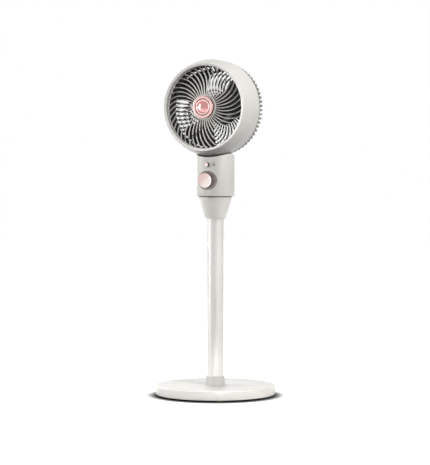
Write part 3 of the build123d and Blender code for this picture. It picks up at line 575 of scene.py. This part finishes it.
@dataclass
class Stand:
    """Round base, feet, collar and neck."""

    shop: Workshop
    column: Spindle
    base_round: float = 0.0010
    foot_round: float = 0.0006
    collar_taper: float = 0.0011
    collar_inset: float = 0.0004
    collar_middle: float = 0.45
    collar_flat: float = 0.005
    collar_swell: float = 0.006
    collar_round: float = 0.0022
    neck_foot: float = 0.027
    land_radius: float = 0.029
    land_height: float = 0.0023
    neck_round: float = 0.0008

    def build(self) -> None:
        """Build the pieces of the stand."""
        self.shop.softened("base_cover", "base_cover_skin", self.base_round, segments=3)
        self.shop.softened("base_feet", "base_foot_pads", self.foot_round)
        self.collar()
        self.neck()

    def collar(self) -> None:
        """Build the collar, barrel-shaped around the foot of the tube."""
        low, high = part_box("column_collar")
        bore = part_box("column_tube")[1].x + SNUG
        belly, ends = high.x - self.collar_inset, high.x - self.collar_taper
        middle = low.z + (high.z - low.z) * self.collar_middle
        outline = rounded([
            (bore, low.z),
            (ends, low.z, 0.0006),
            (belly, middle - self.collar_flat, self.collar_swell),
            (belly, middle + self.collar_flat, self.collar_swell),
            (ends, high.z, self.collar_round),
            (bore, high.z, 0.0005),
        ])
        self.shop.finish(lathe(self.column, outline), "column_collar_ring", "column_collar")

    def neck(self) -> None:
        """Build the neck cone with its rounded rims and its bearing land."""
        low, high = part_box("neck_cone")
        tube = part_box("column_tube")[1]
        socket, bore = tube.x + SNUG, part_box("swivel_post")[1].x + SNUG
        rim = high.z - self.land_height
        outline = rounded([
            (socket, low.z),
            (self.neck_foot, low.z, self.neck_round),
            (high.x, rim, self.neck_round),
            (self.land_radius, rim),
            (self.land_radius, high.z),
            (bore, high.z),
            (bore, tube.z),
            (socket, tube.z),
        ], steps=4)
        cone = lathe(self.column, outline)
        # Painted light: the neck gets a lighter copy of the shell plastic, so it shows brighter than the
        # body under the same lamps.
        self.shop.finish(cone, "neck_cone_skin", "neck_cone", shade="neck_painted_light")


# ---- control body


@dataclass
class ControlBody:
    """Casing under the head, with its knob and its button."""

    shop: Workshop
    knob: Spindle
    button: Spindle
    casing_round: float = 0.0007
    bezel_round: float = 0.0005
    knob_height: float = 0.014
    face_radius: float = 0.01862
    face_depth: float = 0.0009
    grip_radius: float = 0.0194
    groove: tuple[float, float, float, float] = (0.0036, 0.0040, 0.0052, 0.0056)
    groove_depth: float = 0.0016
    flute_count: int = 60
    flute_depth: float = 0.0004
    flute_margin: float = 0.0001
    skirt_radius: float = 0.022
    skirt_height: float = 0.0040
    skirt_land: float = 0.0018
    shaft_radius: float = 0.003
    band_depths: Pair = (0.0038, 0.0043)
    button_steps: int = 64

    def build(self) -> None:
        """Build the casing and its controls."""
        self.shop.softened("control_front_shell", "control_front_skin", self.casing_round)
        self.shop.softened("control_rear_shell", "control_rear_skin", self.casing_round)
        self.shop.softened("knob_bezel", "knob_bezel_ring", self.bezel_round, shade="band_taupe")
        self.speed_knob()
        self.knob_face()
        self.swing_button()

    def speed_knob(self) -> None:
        """Build the fluted knob with its groove, its skirt, its shaft and its band."""
        front, tip, _ = extent("speed_knob")
        back = front + self.knob_height
        face, grip, skirt = self.face_radius, self.grip_radius, self.skirt_radius
        seat, foot, floor = front + self.face_depth, back - self.skirt_height, grip - self.groove_depth
        opens, deep, shallow, closes = (front + depth for depth in self.groove)
        outline = rounded([
            (0.0, seat),
            (face, seat),
            (face, front, 0.0002),
            (grip, front, 0.0005),
            (grip, opens, 0.0004),
            (floor, deep, 0.0002),
            (floor, shallow, 0.0002),
            (grip, closes, 0.0004),
            (grip, foot, 0.0003),
            (skirt - 0.0004, foot, 0.0008),
            (skirt, back - self.skirt_land, 0.0006),
            (skirt - 0.0008, back, 0.0004),
            (self.shaft_radius, back),
            (self.shaft_radius, tip, 0.0003),
            (0.0, tip),
        ], steps=3)
        mesh = lathe(self.knob, outline, steps=self.flute_count * 4)
        for vert in mesh.verts:
            reach = Vector((vert.co.x - self.knob.origin.x, 0.0, vert.co.z - self.knob.origin.z))
            if abs(reach.length - grip) > self.flute_margin:
                continue
            turn = math.atan2(reach.z, reach.x)
            cut = self.flute_depth * (0.5 - 0.5 * math.cos(self.flute_count * turn))
            vert.co -= reach.normalized() * cut
        self.shop.finish(mesh, "speed_knob_grip", "speed_knob")
        inner, outer = grip - 0.0005, skirt - 0.0007
        top, bottom = (back - depth for depth in self.band_depths)
        band = rounded([(inner, top), (inner, bottom), (outer, bottom, 0.0002), (outer, top)])
        self.shop.finish(lathe(self.knob, band), "speed_knob_band", "speed_knob", shade="band_taupe")

    def knob_face(self) -> None:
        """Build the spun metal face of the knob, with its raised rim."""
        front, back, edge = extent("knob_cap")
        outline = rounded([
            (0.0, back),
            (edge, back),
            (edge, front + 0.0002, 0.0004),
            (edge - 0.0012, front + 0.0001, 0.0006),
            (edge - 0.0022, front + 0.0004, 0.0006),
            (0.0, front),
        ])
        self.shop.finish(lathe(self.knob, outline), "knob_face", "knob_cap")

    def swing_button(self) -> None:
        """Build the button with its rounded lip and slightly hollow face."""
        front, back, edge = extent("swing_button")
        outline = rounded([
            (0.0, back),
            (edge, back, 0.0003),
            (edge, front, 0.0011),
            (edge - 0.0016, front + 0.0001, 0.0006),
            (0.0, front + 0.0004),
        ])
        mesh = lathe(self.button, outline, steps=self.button_steps)
        self.shop.finish(mesh, "swing_button_cap", "swing_button", shade="button_rose")


# ---- head


@dataclass
class Head:
    """Barrel, front grille and hub cap, whose depths are measured from the front of each."""

    shop: Workshop
    line: Spindle
    barrel_steps: int = 192
    duct_round: float = 0.0007
    duct_play: float = 0.00002
    wall: float = 0.0028
    shoulder_inset: float = 0.0065
    rim_inset: float = 0.0125
    lip_inset: float = 0.0140
    belly_depth: float = 0.040
    ledge_depth: float = 0.011
    seat_depth: float = 0.0148
    mouth_depth: float = 0.024
    grille_steps: int = 160
    grille_depth: float = 0.005
    grille_rim: float = 0.002
    hub_radius: float = 0.0325
    recess_radius: float = 0.0283
    recess_depth: float = 0.002
    front_ribs: int = 42
    rib_width: float = 0.0024
    rib_round: float = 0.42
    rib_sweep: float = math.radians(19.0)
    rib_stations: int = 18
    rib_bulge: float = 0.0022
    deck_depth: float = 0.0046
    dome_radius: float = 0.0162
    dome_rise: float = 0.0043
    dome_steps: int = 16

    def build(self) -> None:
        """Build the pieces of the head's front."""
        self.barrel()
        self.shop.softened("air_duct", "air_duct_sleeve", self.duct_round)
        self.front_grille()
        self.hub_cap()

    def barrel(self) -> None:
        """Build the drum with the seat of the grille, its rolled rim and its flared lip."""
        front, back, outer = extent("barrel")
        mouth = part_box("air_duct")[1].x + self.duct_play
        shoulder, inside = outer - self.shoulder_inset, outer - self.wall
        rim, lip = outer - self.rim_inset, outer - self.lip_inset
        belly, ledge = front + self.belly_depth, front + self.ledge_depth
        seat, end = front + self.seat_depth, front + self.mouth_depth
        drum = rounded([
            (outer, back, 0.0006),
            (outer, belly, 0.034),
            (shoulder, front + 0.013, 0.016),
            (outer - 0.0113, front + 0.0018, 0.0010),
            (rim, front + 0.0008),
            (lip, front + 0.0020),
            (lip, front + 0.0032),
            (mouth + 0.0011, front + 0.0134),
            (mouth + 0.0011, seat),
            (mouth, seat),
            (mouth, end, 0.0004),
            (mouth + self.wall, end),
            (mouth + self.wall, ledge),
            (shoulder - self.wall - 0.0009, ledge),
            (inside, belly),
            (inside, back, 0.0004),
        ], steps=8)
        # The rolled rim is a lighter copy of the shell plastic: a painted highlight along the front edge,
        # together with real extra gloss.
        rolled = rounded([
            (outer - 0.0110, front + 0.0022),
            (outer - 0.0116, front + 0.0006, 0.0006),
            (rim, front, 0.0006),
            (outer - 0.0182, front + 0.0020, 0.0008),
            (outer - 0.0176, front + 0.0036),
        ])
        # The flared lip is a darker copy of the shell plastic that darkens further into the mouth: painted
        # shade.
        flared = rounded([
            (outer - 0.0179, front + 0.0030),
            (mouth, front + 0.0146, 0.0050),
            (mouth + 0.0009, front + 0.0146),
            (outer - 0.0167, front + 0.0042),
        ])
        pieces = (("drum", drum, ""), ("rim", rolled, "rim_painted_highlight"), ("lip", flared, "lip_painted_shade"))
        for name, outline, shade in pieces:
            mesh = lathe(self.line, outline, steps=self.barrel_steps)
            self.shop.finish(mesh, f"barrel_{name}", "barrel", shade=shade)

    def front_grille(self) -> None:
        """Build the front grille: rim, hub and swirling ribs on a shallow dome."""
        front, back, rim = extent("front_grille")
        depth, hub, recess = self.grille_depth, self.hub_radius, self.recess_radius
        inside, floor, start = rim - self.grille_rim, front + self.recess_depth, back - depth
        ring = [(rim, start, 0.0004), (rim, back), (inside, back, 0.0004), (inside, start, 0.0008)]
        mesh = lathe(self.line, rounded(ring, steps=3), steps=self.grille_steps)
        plate = rounded([
            (0.0, floor),
            (recess, floor),
            (recess, front, 0.0005),
            (hub, front, 0.0009),
            (hub, front + depth, 0.0004),
            (0.0, front + depth),
        ], steps=4)
        join(mesh, lathe(self.line, plate))
        rise, middle = back - front - depth, front + depth / 2
        shares = [step / self.rib_stations for step in range(self.rib_stations + 1)]
        heights = [middle + rise * share - self.rib_bulge * share * (1 - share) for share in shares]
        stations = swirl(self.line, (hub - 0.0008, rim - 0.0012), self.rib_sweep, heights)
        rib = bar(self.rib_width, depth, self.rib_round, stations)
        join(mesh, repeated(rib, self.line, self.front_ribs))
        self.shop.finish(mesh, "front_grille_ribs", "front_grille", sharp=SHARP_RIBBED)

    def hub_cap(self) -> None:
        """Build the cap: a domed dish within a bezel, a ring of painted shade in its groove, a soft rim and
        a skirt darkened by painted reflection.
        """
        front, back, edge = extent("hub_cap")
        deck, dome = front + self.deck_depth, self.dome_radius
        side, under = edge - 0.0012, deck + 0.0002
        outline = rounded([(0.0, back), (side, back), (side, deck, 0.0003)])
        for step in range(self.dome_steps + 1):
            reach = dome * (1 - step / self.dome_steps)
            outline.append((reach, deck - self.dome_rise * (1 - (reach / dome) ** 2)))
        self.shop.finish(lathe(self.line, outline), "hub_cap_dome", "hub_cap")
        self.cap_ring("bezel", (0.0163, 0.0193), (front + 0.0004, under), 0.0010, "rose_pale")
        # Painted shade: the ring in the groove is a dark copy of the rose metal.
        self.cap_ring("groove_shade", (0.0194, 0.0221), (front + 0.0026, under), 0.0002, "rose_shade_and_reflection")
        self.cap_ring("rim", (0.0222, edge - 0.0003), (front, under), 0.0014, "rose_soft")
        # Painted reflection: the skirt takes the same dark copy, for the dark surroundings that its side
        # would reflect.
        self.cap_ring("skirt", (edge - 0.0011, edge), (deck + 0.0004, back), 0.0002, "rose_shade_and_reflection")

    def cap_ring(self, name: str, radii: Pair, ends: Pair, fillet: float, shade: str) -> None:
        """Build one ring of the cap.

        Args:
            name: Name of the ring.
            radii: Inner and outer radius.
            ends: Where it starts and ends along the shaft.
            fillet: Radius of its front edges.
            shade: Name of its finish.
        """
        (inner, outer), (front, back) = radii, ends
        corners = [(inner, back), (inner, front, fillet), (outer, front, fillet), (outer, back)]
        ring = lathe(self.line, rounded(corners))
        self.shop.finish(ring, f"hub_cap_{name}", "hub_cap", shade=shade)


# ---- rear grille


@dataclass
class RearGrille:
    """Ribbed cage at the back of the head, with its plate and cap."""

    shop: Workshop
    line: Spindle
    turn_steps: int = 160
    flange_width: float = 0.0075
    flange_height: float = 0.004
    ring_radii: Pair = (0.0980, 0.1040)
    back_depth: float = 0.0045
    plate_radius: float = 0.041
    plate_steps: int = 96
    side_ribs: int = 66
    rib_width: float = 0.0050
    rib_depth: float = 0.0075
    rib_round: float = 0.42
    bend_steps: int = 8
    back_ribs: int = 42
    back_rib_width: float = 0.0038
    back_rib_round: float = 0.30
    back_rib_reach: Pair = (0.0402, 0.0990)
    back_rib_stations: int = 12
    back_sweep: float = math.radians(-26.0)
    cap_wall: float = 0.0028
    cap_shoulder: float = 0.0040
    cap_floor: float = 0.0030
    dish_radius: float = 0.0130
    dish_depth: float = 0.0008

    def build(self) -> None:
        """Build the cage and the cap."""
        self.cage()
        self.cap()

    def cage(self) -> None:
        """Build the flange, the back ring, the plate, the ribs over the shoulder and the back ribs."""
        front, back, outer = extent("rear_grille")
        inside, end, under = outer - self.flange_width, front + self.flange_height, back - self.back_depth
        flange = [(outer, front), (outer, end, 0.0008), (inside, end, 0.0008), (inside, front)]
        near, far = self.ring_radii
        ring = [(far, under, 0.0005), (far, back, 0.0014), (near, back, 0.0010), (near, under, 0.0004)]
        edge = self.plate_radius
        plate = [(0.0, back), (edge, back, 0.0010), (edge, under, 0.0004), (0.0, under)]
        mesh = lathe(self.line, rounded(flange, steps=3), steps=self.turn_steps)
        for outline, steps in ((ring, self.turn_steps), (plate, self.plate_steps)):
            join(mesh, lathe(self.line, rounded(outline, steps=3), steps=steps))
        side = bar(self.rib_width, self.rib_depth, self.rib_round, self._side_stations(front, back))
        join(mesh, repeated(side, self.line, self.side_ribs))
        heights = [back - self.back_depth / 2] * (self.back_rib_stations + 1)
        stations = swirl(self.line, self.back_rib_reach, self.back_sweep, heights)
        rear = bar(self.back_rib_width, self.back_depth, self.back_rib_round, stations)
        join(mesh, repeated(rear, self.line, self.back_ribs))
        self.shop.finish(mesh, "rear_grille_cage", "rear_grille", sharp=SHARP_RIBBED)

    def _side_stations(self, front: float, back: float) -> list[Matrix]:
        """Lay the stations of a side rib, straight along the drum and then over the shoulder.

        Args:
            front: Where the flange starts.
            back: Where the cage ends.

        Returns:
            The stations.
        """
        half = self.rib_depth / 2
        start, shoulder = Vector((0.1212 - half, 0.029)), Vector((0.1204 - half, 0.038))
        end = Vector((0.1010, back - 0.0042))
        path = [Vector((0.1236 - half, front + 0.002)), Vector((0.1222 - half, front + 0.020))]
        path += bend(start, shoulder, end, self.bend_steps)
        stations = []
        for index, spot in enumerate(path):
            ahead = path[min(index + 1, len(path) - 1)] - path[max(index - 1, 0)]
            lean = math.atan2(-ahead.x, ahead.y)
            place = self.line.frame() @ Matrix.Translation((spot.x, 0.0, spot.y))
            stations.append(place @ Matrix.Rotation(-lean, 4, "Y") @ BAR_ON_LINE)
        return stations

    def cap(self) -> None:
        """Build the round cap over the motor's screws, with its shallow dish."""
        front, back, edge = extent("rear_cap")
        bore, ceiling, dish = edge - self.cap_wall, back - self.cap_floor, back - self.dish_depth
        outline = rounded([
            (bore, front),
            (edge, front, 0.0003),
            (edge, back - self.cap_shoulder, 0.0030),
            (edge - self.cap_shoulder, back, 0.0030),
            (self.dish_radius + 0.0010, back, 0.0010),
            (self.dish_radius, dish, 0.0005),
            (0.0, dish),
            (0.0, ceiling),
            (bore, ceiling),
        ])
        self.shop.finish(lathe(self.line, outline), "rear_cap_skin", "rear_cap")


# ---- impeller


@dataclass
class Impeller:
    """Three pitched blades on a round hub.

    Attributes:
        start: Turn of the first blade's spoke.
        middle: Where the spokes lie along the shaft.
        root_camber: Share of the camber that a blade has at its root.
        lead: Reach and offset of the leading edge at its root, middle and tip.
        trail: The same for the trailing edge.
    """

    shop: Workshop
    line: Spindle
    bore: float = 0.00402
    boss_radius: float = 0.0080
    nose_radius: float = 0.0200
    hub_radius: float = 0.028
    hub_wall: float = 0.0025
    hub_ends: Pair = (-0.0430, -0.0050)
    hub_floor: float = -0.0300
    hub_steps: int = 96
    blades: int = 3
    start: float = math.radians(22.0)
    pitch: float = math.radians(17.0)
    middle: float = -0.033
    root: float = 0.0270
    tip: float = 0.1013
    camber: float = 0.0030
    root_camber: float = 0.4
    thickness: float = 0.0022
    columns: int = 16
    rows: int = 14
    lead: tuple[Pair, Pair, Pair] = ((0.022, -0.015), (0.052, -0.049), (0.078, -0.1065))
    trail: tuple[Pair, Pair, Pair] = ((0.022, 0.015), (0.065, 0.027), (0.125, 0.052))
    halvings: int = 40

    def build(self) -> None:
        """Build the impeller."""
        (front, back), boss, hub = self.hub_ends, self.boss_radius, self.hub_radius
        outline = rounded([
            (self.bore, front),
            (self.nose_radius, front, 0.0010),
            (hub, front + 0.0025, 0.0050),
            (hub, back, 0.0010),
            (hub - self.hub_wall, back),
            (hub - self.hub_wall, self.hub_floor),
            (boss, self.hub_floor),
            (boss, back, 0.0004),
            (self.bore, back),
        ])
        mesh = lathe(self.line, outline, steps=self.hub_steps)
        join(mesh, repeated(self._blade(), self.line, self.blades))
        self.shop.finish(mesh, "impeller_blades", "impeller", sharp=SHARP_RIBBED)

    def _edge(self, radius: float, bow: Sequence[Pair]) -> float:
        """Find the turn at which an edge of the blade crosses a radius.

        Args:
            radius: Distance from the shaft.
            bow: Reach and offset of the edge at its root, middle and tip.

        Returns:
            The turn, in radians from the blade's spoke.
        """
        (r0, c0), (r1, c1), (r2, c2) = bow
        low, high = r0 / 2, r2
        for _ in range(self.halvings):
            reach = (low + high) / 2
            offset = (
                c0 * (reach - r1) * (reach - r2) / ((r0 - r1) * (r0 - r2))
                + c1 * (reach - r0) * (reach - r2) / ((r1 - r0) * (r1 - r2))
                + c2 * (reach - r0) * (reach - r1) / ((r2 - r0) * (r2 - r1))
            )
            across = offset * math.cos(self.pitch)
            if math.hypot(reach, across) < radius:
                low = reach
            else:
                high = reach
        return math.atan2(across, reach)

    def _blade(self) -> Mesh:
        """Build one blade, cambered most at its tip.

        Returns:
            The blade.
        """
        mesh = bmesh.new()
        bmesh.ops.create_grid(mesh, x_segments=self.columns, y_segments=self.rows, size=0.5)
        turning = self.line.frame()
        for vert in mesh.verts:
            across, out = vert.co.x + 0.5, vert.co.y + 0.5
            radius = self.root + (self.tip - self.root) * out
            first, last = self._edge(radius, self.lead), self._edge(radius, self.trail)
            turn = first + (last - first) * across
            along = self.middle - radius * math.sin(turn) * math.tan(self.pitch)
            fullness = self.root_camber + (1 - self.root_camber) * out
            along -= self.camber * 4 * across * (1 - across) * fullness
            angle = -(self.start + turn) + math.pi / 2
            vert.co = turning @ Vector((radius * math.cos(angle), radius * math.sin(angle), along))
        geometry = mesh.verts[:] + mesh.edges[:] + mesh.faces[:]
        bmesh.ops.solidify(mesh, geom=geometry, thickness=self.thickness)
        return mesh


# ---- studio


def aim(name: str, data: bpy.types.ID, place: Vector, target: Vector) -> bpy.types.Object:
    """Add a lamp or a camera to the scene, pointing at a target.

    Args:
        name: Name of the object.
        data: The light or the camera.
        place: Where it stands.
        target: What it points at.

    Returns:
        The object.
    """
    holder = put(name, data)
    holder.location = place
    holder.rotation_euler = (target - holder.location).to_track_quat("-Z", "Y").to_euler()
    return holder


@dataclass(frozen=True)
class Lamp:
    """A soft box, with its size in metres, its power in watts and its beam's spread in degrees."""

    name: str
    place: Place
    target: Place
    size: Pair
    power: float
    colour: Colour
    spread: float = 180.0

    def hang(self) -> None:
        """Hang the lamp in the scene."""
        light = bpy.data.lights.new(self.name, "AREA")
        light.shape = "RECTANGLE"
        light.size, light.size_y = self.size
        light.energy = self.power
        light.color = self.colour
        light.spread = math.radians(self.spread)
        aim(self.name, light, Vector(self.place), Vector(self.target))


@dataclass
class Studio:
    """White floor and surroundings, soft lamps and the camera of the photograph.

    Attributes:
        azimuth: Direction of the camera, from the front towards the right.
        floor_shown: Level of the floor to the camera, in reflections and through glass.
        floor_felt: Level of the floor to all other light.
        shadow_depth: Share of these levels that is left in the painted shadow under the object.
        shadow_reach: Distances from the painted shadow's centre over which that shade fades.
        lift_reach: Distances over which the floor's own white comes in.
    """

    azimuth: float = math.radians(25.0)
    distance: float = 4.30
    camera_height: float = 0.532
    aim_height: float = 0.4237
    aim_aside: float = -0.0009
    focal_pixels: float = 1650.0
    sensor_width: float = 36.0
    clip: Pair = (0.05, 60.0)
    white: Colour = (1.0, 1.0, 1.0)
    fill_colour: Colour = (1.0, 0.99, 0.975)
    fill: float = 0.12
    floor_half: float = 12.0
    floor_shown: float = 0.94
    floor_felt: float = 0.08
    shadow_centre: Place = (0.0042, -0.0091, 0.0)
    shadow_depth: float = 0.03
    shadow_reach: Pair = (0.150, 0.195)
    lift_reach: Pair = (0.150, 0.212)

    def build(self) -> None:
        """Set up the camera, the surroundings, the floor and the lamps."""
        bpy.context.scene.view_settings.view_transform = "Standard"
        self.camera()
        self.surroundings()
        self.floor()
        for lamp in self.lamps():
            lamp.hang()

    def camera(self) -> None:
        """Place the camera at the photograph's viewing angle."""
        lens = bpy.data.cameras.new("camera")
        lens.sensor_width = self.sensor_width
        lens.lens = lens.sensor_width * self.focal_pixels / max(IMAGE_SIZE)
        lens.clip_start, lens.clip_end = self.clip
        away = Vector((math.sin(self.azimuth), -math.cos(self.azimuth), 0.0))
        across = Vector((math.cos(self.azimuth), math.sin(self.azimuth), 0.0))
        place = away * self.distance + Vector((0.0, 0.0, self.camera_height))
        target = across * self.aim_aside + Vector((0.0, 0.0, self.aim_height))
        bpy.context.scene.camera = aim("camera", lens, place, target)

    def surroundings(self) -> None:
        """Light the scene evenly, and show white to the camera, in reflections and through glass."""
        world = bpy.data.worlds.new("surroundings")
        world.use_nodes = True
        bpy.context.scene.world = world
        world.node_tree.nodes.clear()
        nodes = Nodes(world.node_tree)
        fill, shown = (
            nodes.add("Background", {"Color": (*colour, 1.0), "Strength": strength})["Background"]
            for colour, strength in ((self.fill_colour, self.fill), (self.white, 1.0))
        )
        choice = nodes.add("MixShader", {"Fac": self.seen(nodes), 1: fill, 2: shown})["Shader"]
        nodes.add("OutputWorld", {"Surface": choice})

    def seen(self, nodes: Nodes) -> Socket:
        """Tell the rays that come from the camera, a gloss or a glass.

        Args:
            nodes: The nodes to add to.

        Returns:
            A socket that is 1 for such a ray and 0 for others.
        """
        path = nodes.add("LightPath")
        either = nodes.maths("MAXIMUM", path["Is Camera Ray"], path["Is Glossy Ray"])
        return nodes.maths("MAXIMUM", either, path["Is Transmission Ray"])

    def floor(self) -> None:
        """Lay the floor, which keeps the object's shadow, darkens in a ring around the base as a painted
        shadow, and is white elsewhere.
        """
        mesh = bmesh.new()
        bmesh.ops.create_grid(mesh, x_segments=4, y_segments=4, size=self.floor_half)
        floor = put("floor", settled(mesh, "floor"))
        paper = bpy.data.materials.new("floor_paper")
        paper.use_nodes = True
        paper.node_tree.nodes.clear()
        nodes = Nodes(paper.node_tree)
        seen = self.seen(nodes)
        away = nodes.vector("DISTANCE", nodes.add("TexCoord")["Object"], self.shadow_centre)["Value"]
        level = nodes.ramp(seen, (0.0, 1.0), (self.floor_felt, self.floor_shown), "LINEAR")
        # Painted shadow: the floor's colour darkens in a ring around the base.
        near = nodes.ramp(away, self.shadow_reach, (self.shadow_depth, 1.0))
        far = nodes.ramp(away, self.lift_reach)
        flat = nodes.add("BsdfDiffuse", {"Color": nodes.maths("MULTIPLY", level, near)})["BSDF"]
        white = {"Color": (*self.white, 1.0), "Strength": nodes.maths("MULTIPLY", seen, far)}
        both = nodes.add("AddShader", {0: flat, 1: nodes.add("Emission", white)["Emission"]})["Shader"]
        nodes.add("OutputMaterial", {"Surface": both})
        floor.data.materials.append(paper)

    def lamps(self) -> list[Lamp]:
        """List the soft boxes: above, left, right and behind, and narrow ones for base and column.

        Returns:
            The lamps.
        """
        middle, foot = (0.0, 0.0, 0.5), (0.045, 0.02, -0.05)
        low_left, low_right = (0.0, 0.0, 0.35), (0.0, 0.0, 0.33)
        cool, plain, warm = (1.0, 0.995, 0.975), (1.0, 0.99, 0.97), (1.0, 0.99, 0.965)
        return [
            Lamp("top_box", (0.3, -0.3, 2.8), (0.0, 0.0, 0.4), (1.6, 1.6), 16.5, warm),
            Lamp("left_box", (-2.25, -1.05, 0.85), middle, (1.1, 1.7), 50.0, cool),
            Lamp("right_box", (2.12, -0.80, 1.35), middle, (0.5, 1.3), 43.0, warm),
            Lamp("back_box", (-2.1, 1.5, 1.2), middle, (1.0, 1.4), 22.0, plain),
            Lamp("base_box", (1.3, -1.85, 0.12), foot, (0.8, 0.2), 0.53, plain, 10.5),
            Lamp("pole_box_left", (-1.90, -1.20, 0.35), low_left, (1.0, 0.4), 0.20, cool, 14.0),
            Lamp("pole_box_right", (1.85, -1.30, 0.33), low_right, (0.9, 0.3), 0.20, plain, 14.0),
        ]


# ---- finishes of this fan


def middle_z(node: str) -> float:
    """Return the height of the middle of a CAD node."""
    low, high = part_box(node)
    return (low.z + high.z) / 2


def fan_finishes(head_z: float, knob_z: float, button_z: float) -> dict[str, Finish]:
    """Give the finish of each material slot, and of the pieces that differ from their slot.

    Args:
        head_z: Height of the shaft.
        knob_z: Height of the knob.
        button_z: Height of the button.

    Returns:
        The finishes, by the name of the slot or of the finish.
    """
    at_head, at_knob = (0.0, 0.0, head_z), (0.0, 0.0, knob_z)
    at_base, at_column = (0.0, 0.0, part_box("base_cover")[1].z - 0.0012), (0.0, 0.0, 0.13)
    at_mouth, at_cage = (0.0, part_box("barrel")[0].y + 0.0088, 0.0), (0.0, 0.042, 0.0)
    at_button = (0.0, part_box("swing_button")[0].y, button_z)
    lens_low, lens_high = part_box("indicator_lens")
    at_lens = tuple((lens_low + lens_high) / 2)
    satin = {"shine": 0.22, "drift": 0.015, "relief": 0.06}
    spun, cast = {"grain": Grain.SPUN}, {"grain": Grain.CAST}
    finishes = [
        Finish("shell_white", (0.76, 0.75, 0.722), 0.36, **satin),
        # Painted light: a lighter copy of shell_white for the neck.
        Finish("neck_painted_light", (0.85, 0.838, 0.808), 0.36, **satin),
        # Painted shade: a darker copy of shell_white, passing to darker still deeper into the mouth.
        Finish("lip_painted_shade", (0.52, 0.513, 0.494), 0.40, **satin,
               centre=at_mouth, second=(0.20, 0.197, 0.188), gradient=(0.0, 75.0, 0.0)),
        # Painted highlight: lighter than shell_white, so the rim shows a bright line; its higher shine and
        # lower roughness are real gloss.
        Finish("rim_painted_highlight", (0.90, 0.89, 0.87), 0.24, shine=0.6, drift=0.01, relief=0.03),
        # Painted shade: from just under its top, the base's side passes into a darker copy of its colour.
        Finish("base_white", (0.84, 0.828, 0.80), 0.24, coat=0.15, drift=0.012, relief=0.02,
               centre=at_base, second=(0.63, 0.621, 0.598), gradient=(0.0, 0.0, -700.0)),
        # Painted shade: the column darkens towards its foot, against the light bounced up from the base.
        Finish("column_white", (0.74, 0.732, 0.711), 0.36, shine=0.9, drift=0.012,
               grain_scale=420.0, relief=0.04,
               centre=at_column, second=(0.64, 0.633, 0.615), gradient=(0.0, 0.0, -6.0)),
        Finish("collar_white", (0.46, 0.452, 0.432), 0.45, shine=0.3, drift=0.02, relief=0.06),
        Finish("grille_grey", (0.68, 0.668, 0.642), 0.38, drift=0.04, relief=0.10),
        # Painted shade: the cage passes into a much darker grey towards its back, where its ribs are seen
        # unlit through the front.
        Finish("cage_grey", (0.30, 0.292, 0.272), 0.42, shine=0.3, drift=0.04, relief=0.10,
               centre=at_cage, second=(0.10, 0.098, 0.092), gradient=(0.0, 100.0, 0.0)),
        Finish("blade_grey", (0.10, 0.10, 0.098), 0.60, shine=0.15, drift=0.05, relief=0.10),
        Finish("rose_polished", (0.58, 0.29, 0.28), 0.17, 1.0, **spun,
               grain_scale=5200.0, relief=0.01, centre=at_head),
        Finish("rose_pale", (0.76, 0.60, 0.58), 0.30, 1.0, relief=0.02),
        Finish("rose_soft", (0.72, 0.48, 0.465), 0.30, 1.0, relief=0.02),
        # Painted shade and painted reflection: a dark copy of the rose metal for the cap's groove and skirt.
        Finish("rose_shade_and_reflection", (0.26, 0.14, 0.14), 0.38, 0.8, relief=0.02),
        # Painted sheen: the knob's spun face passes from its rose colour at top left to a lighter one at
        # bottom right.
        Finish("rose_satin", (0.58, 0.42, 0.412), 0.34, 1.0, **spun, grain_scale=4600.0, relief=0.015,
               centre=at_knob, second=(0.68, 0.622, 0.594), gradient=(30.0, 0.0, -30.0)),
        Finish("button_rose", (0.80, 0.66, 0.64), 0.28, 1.0, relief=0.05,
               centre=at_button, second=(0.09, 0.07, 0.065), disc=0.0053),
        Finish("knob_taupe", (0.16, 0.132, 0.120), 0.40, 0.2, drift=0.05, relief=0.06),
        Finish("band_taupe", (0.26, 0.225, 0.21), 0.26, 0.7, drift=0.04, relief=0.04),
        Finish("foot_rubber", (0.02, 0.02, 0.02), 0.80, drift=0.10, grain_scale=900.0, relief=0.25),
        Finish("weight_iron", (0.035, 0.035, 0.038), 0.60, 0.3, **cast,
               drift=0.15, grain_scale=700.0, relief=0.45),
        Finish("plain_steel", (0.52, 0.52, 0.53), 0.30, 1.0, drift=0.06),
        Finish("plug_alloy", (0.13, 0.13, 0.135), 0.50, 0.9, **cast,
               drift=0.08, grain_scale=1100.0, relief=0.20),
        Finish("frame_grey", (0.14, 0.14, 0.14), 0.55, drift=0.06, relief=0.15),
        Finish("gear_nylon", (0.72, 0.71, 0.66), 0.45),
        Finish("board_green", (0.02, 0.10, 0.04), 0.35, coat=0.4, drift=0.08, relief=0.05),
        Finish("switch_black", (0.015, 0.015, 0.015), 0.45, drift=0.08, relief=0.12),
    ]
    lens = Finish("lamp_lens", (0.74, 0.73, 0.70), 0.20, shine=0.3, relief=0.03,
                  centre=at_lens, second=(0.05, 0.047, 0.043), disc=0.0021)
    return {finish.name: finish for finish in finishes} | {"lamp": lens}


# ---- all of it


def main() -> None:
    """Build the camera and the lights, then the pieces from the floor up."""
    logging.basicConfig(level=logging.INFO, format="%(name)s %(message)s")
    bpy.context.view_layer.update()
    head_z, knob_z, button_z = middle_z("barrel"), middle_z("knob_cap"), middle_z("swing_button")
    column = Spindle(Vector((0, 0, 0)), Vector((0, 0, 1)), Vector((1, 0, 0)))
    line, knob, button = (
        Spindle(Vector((0, 0, z)), Vector((0, 1, 0)), Vector((0, 0, 1))) for z in (head_z, knob_z, button_z)
    )
    Studio().build()
    shop = Workshop(frame["record"], fan_finishes(head_z, knob_z, button_z))
    Stand(shop, column).build()
    ControlBody(shop, knob, button).build()
    Head(shop, line).build()
    RearGrille(shop, line).build()
    Impeller(shop, line).build()
    shop.keep_rest()


if __name__ == "__main__":
    main()
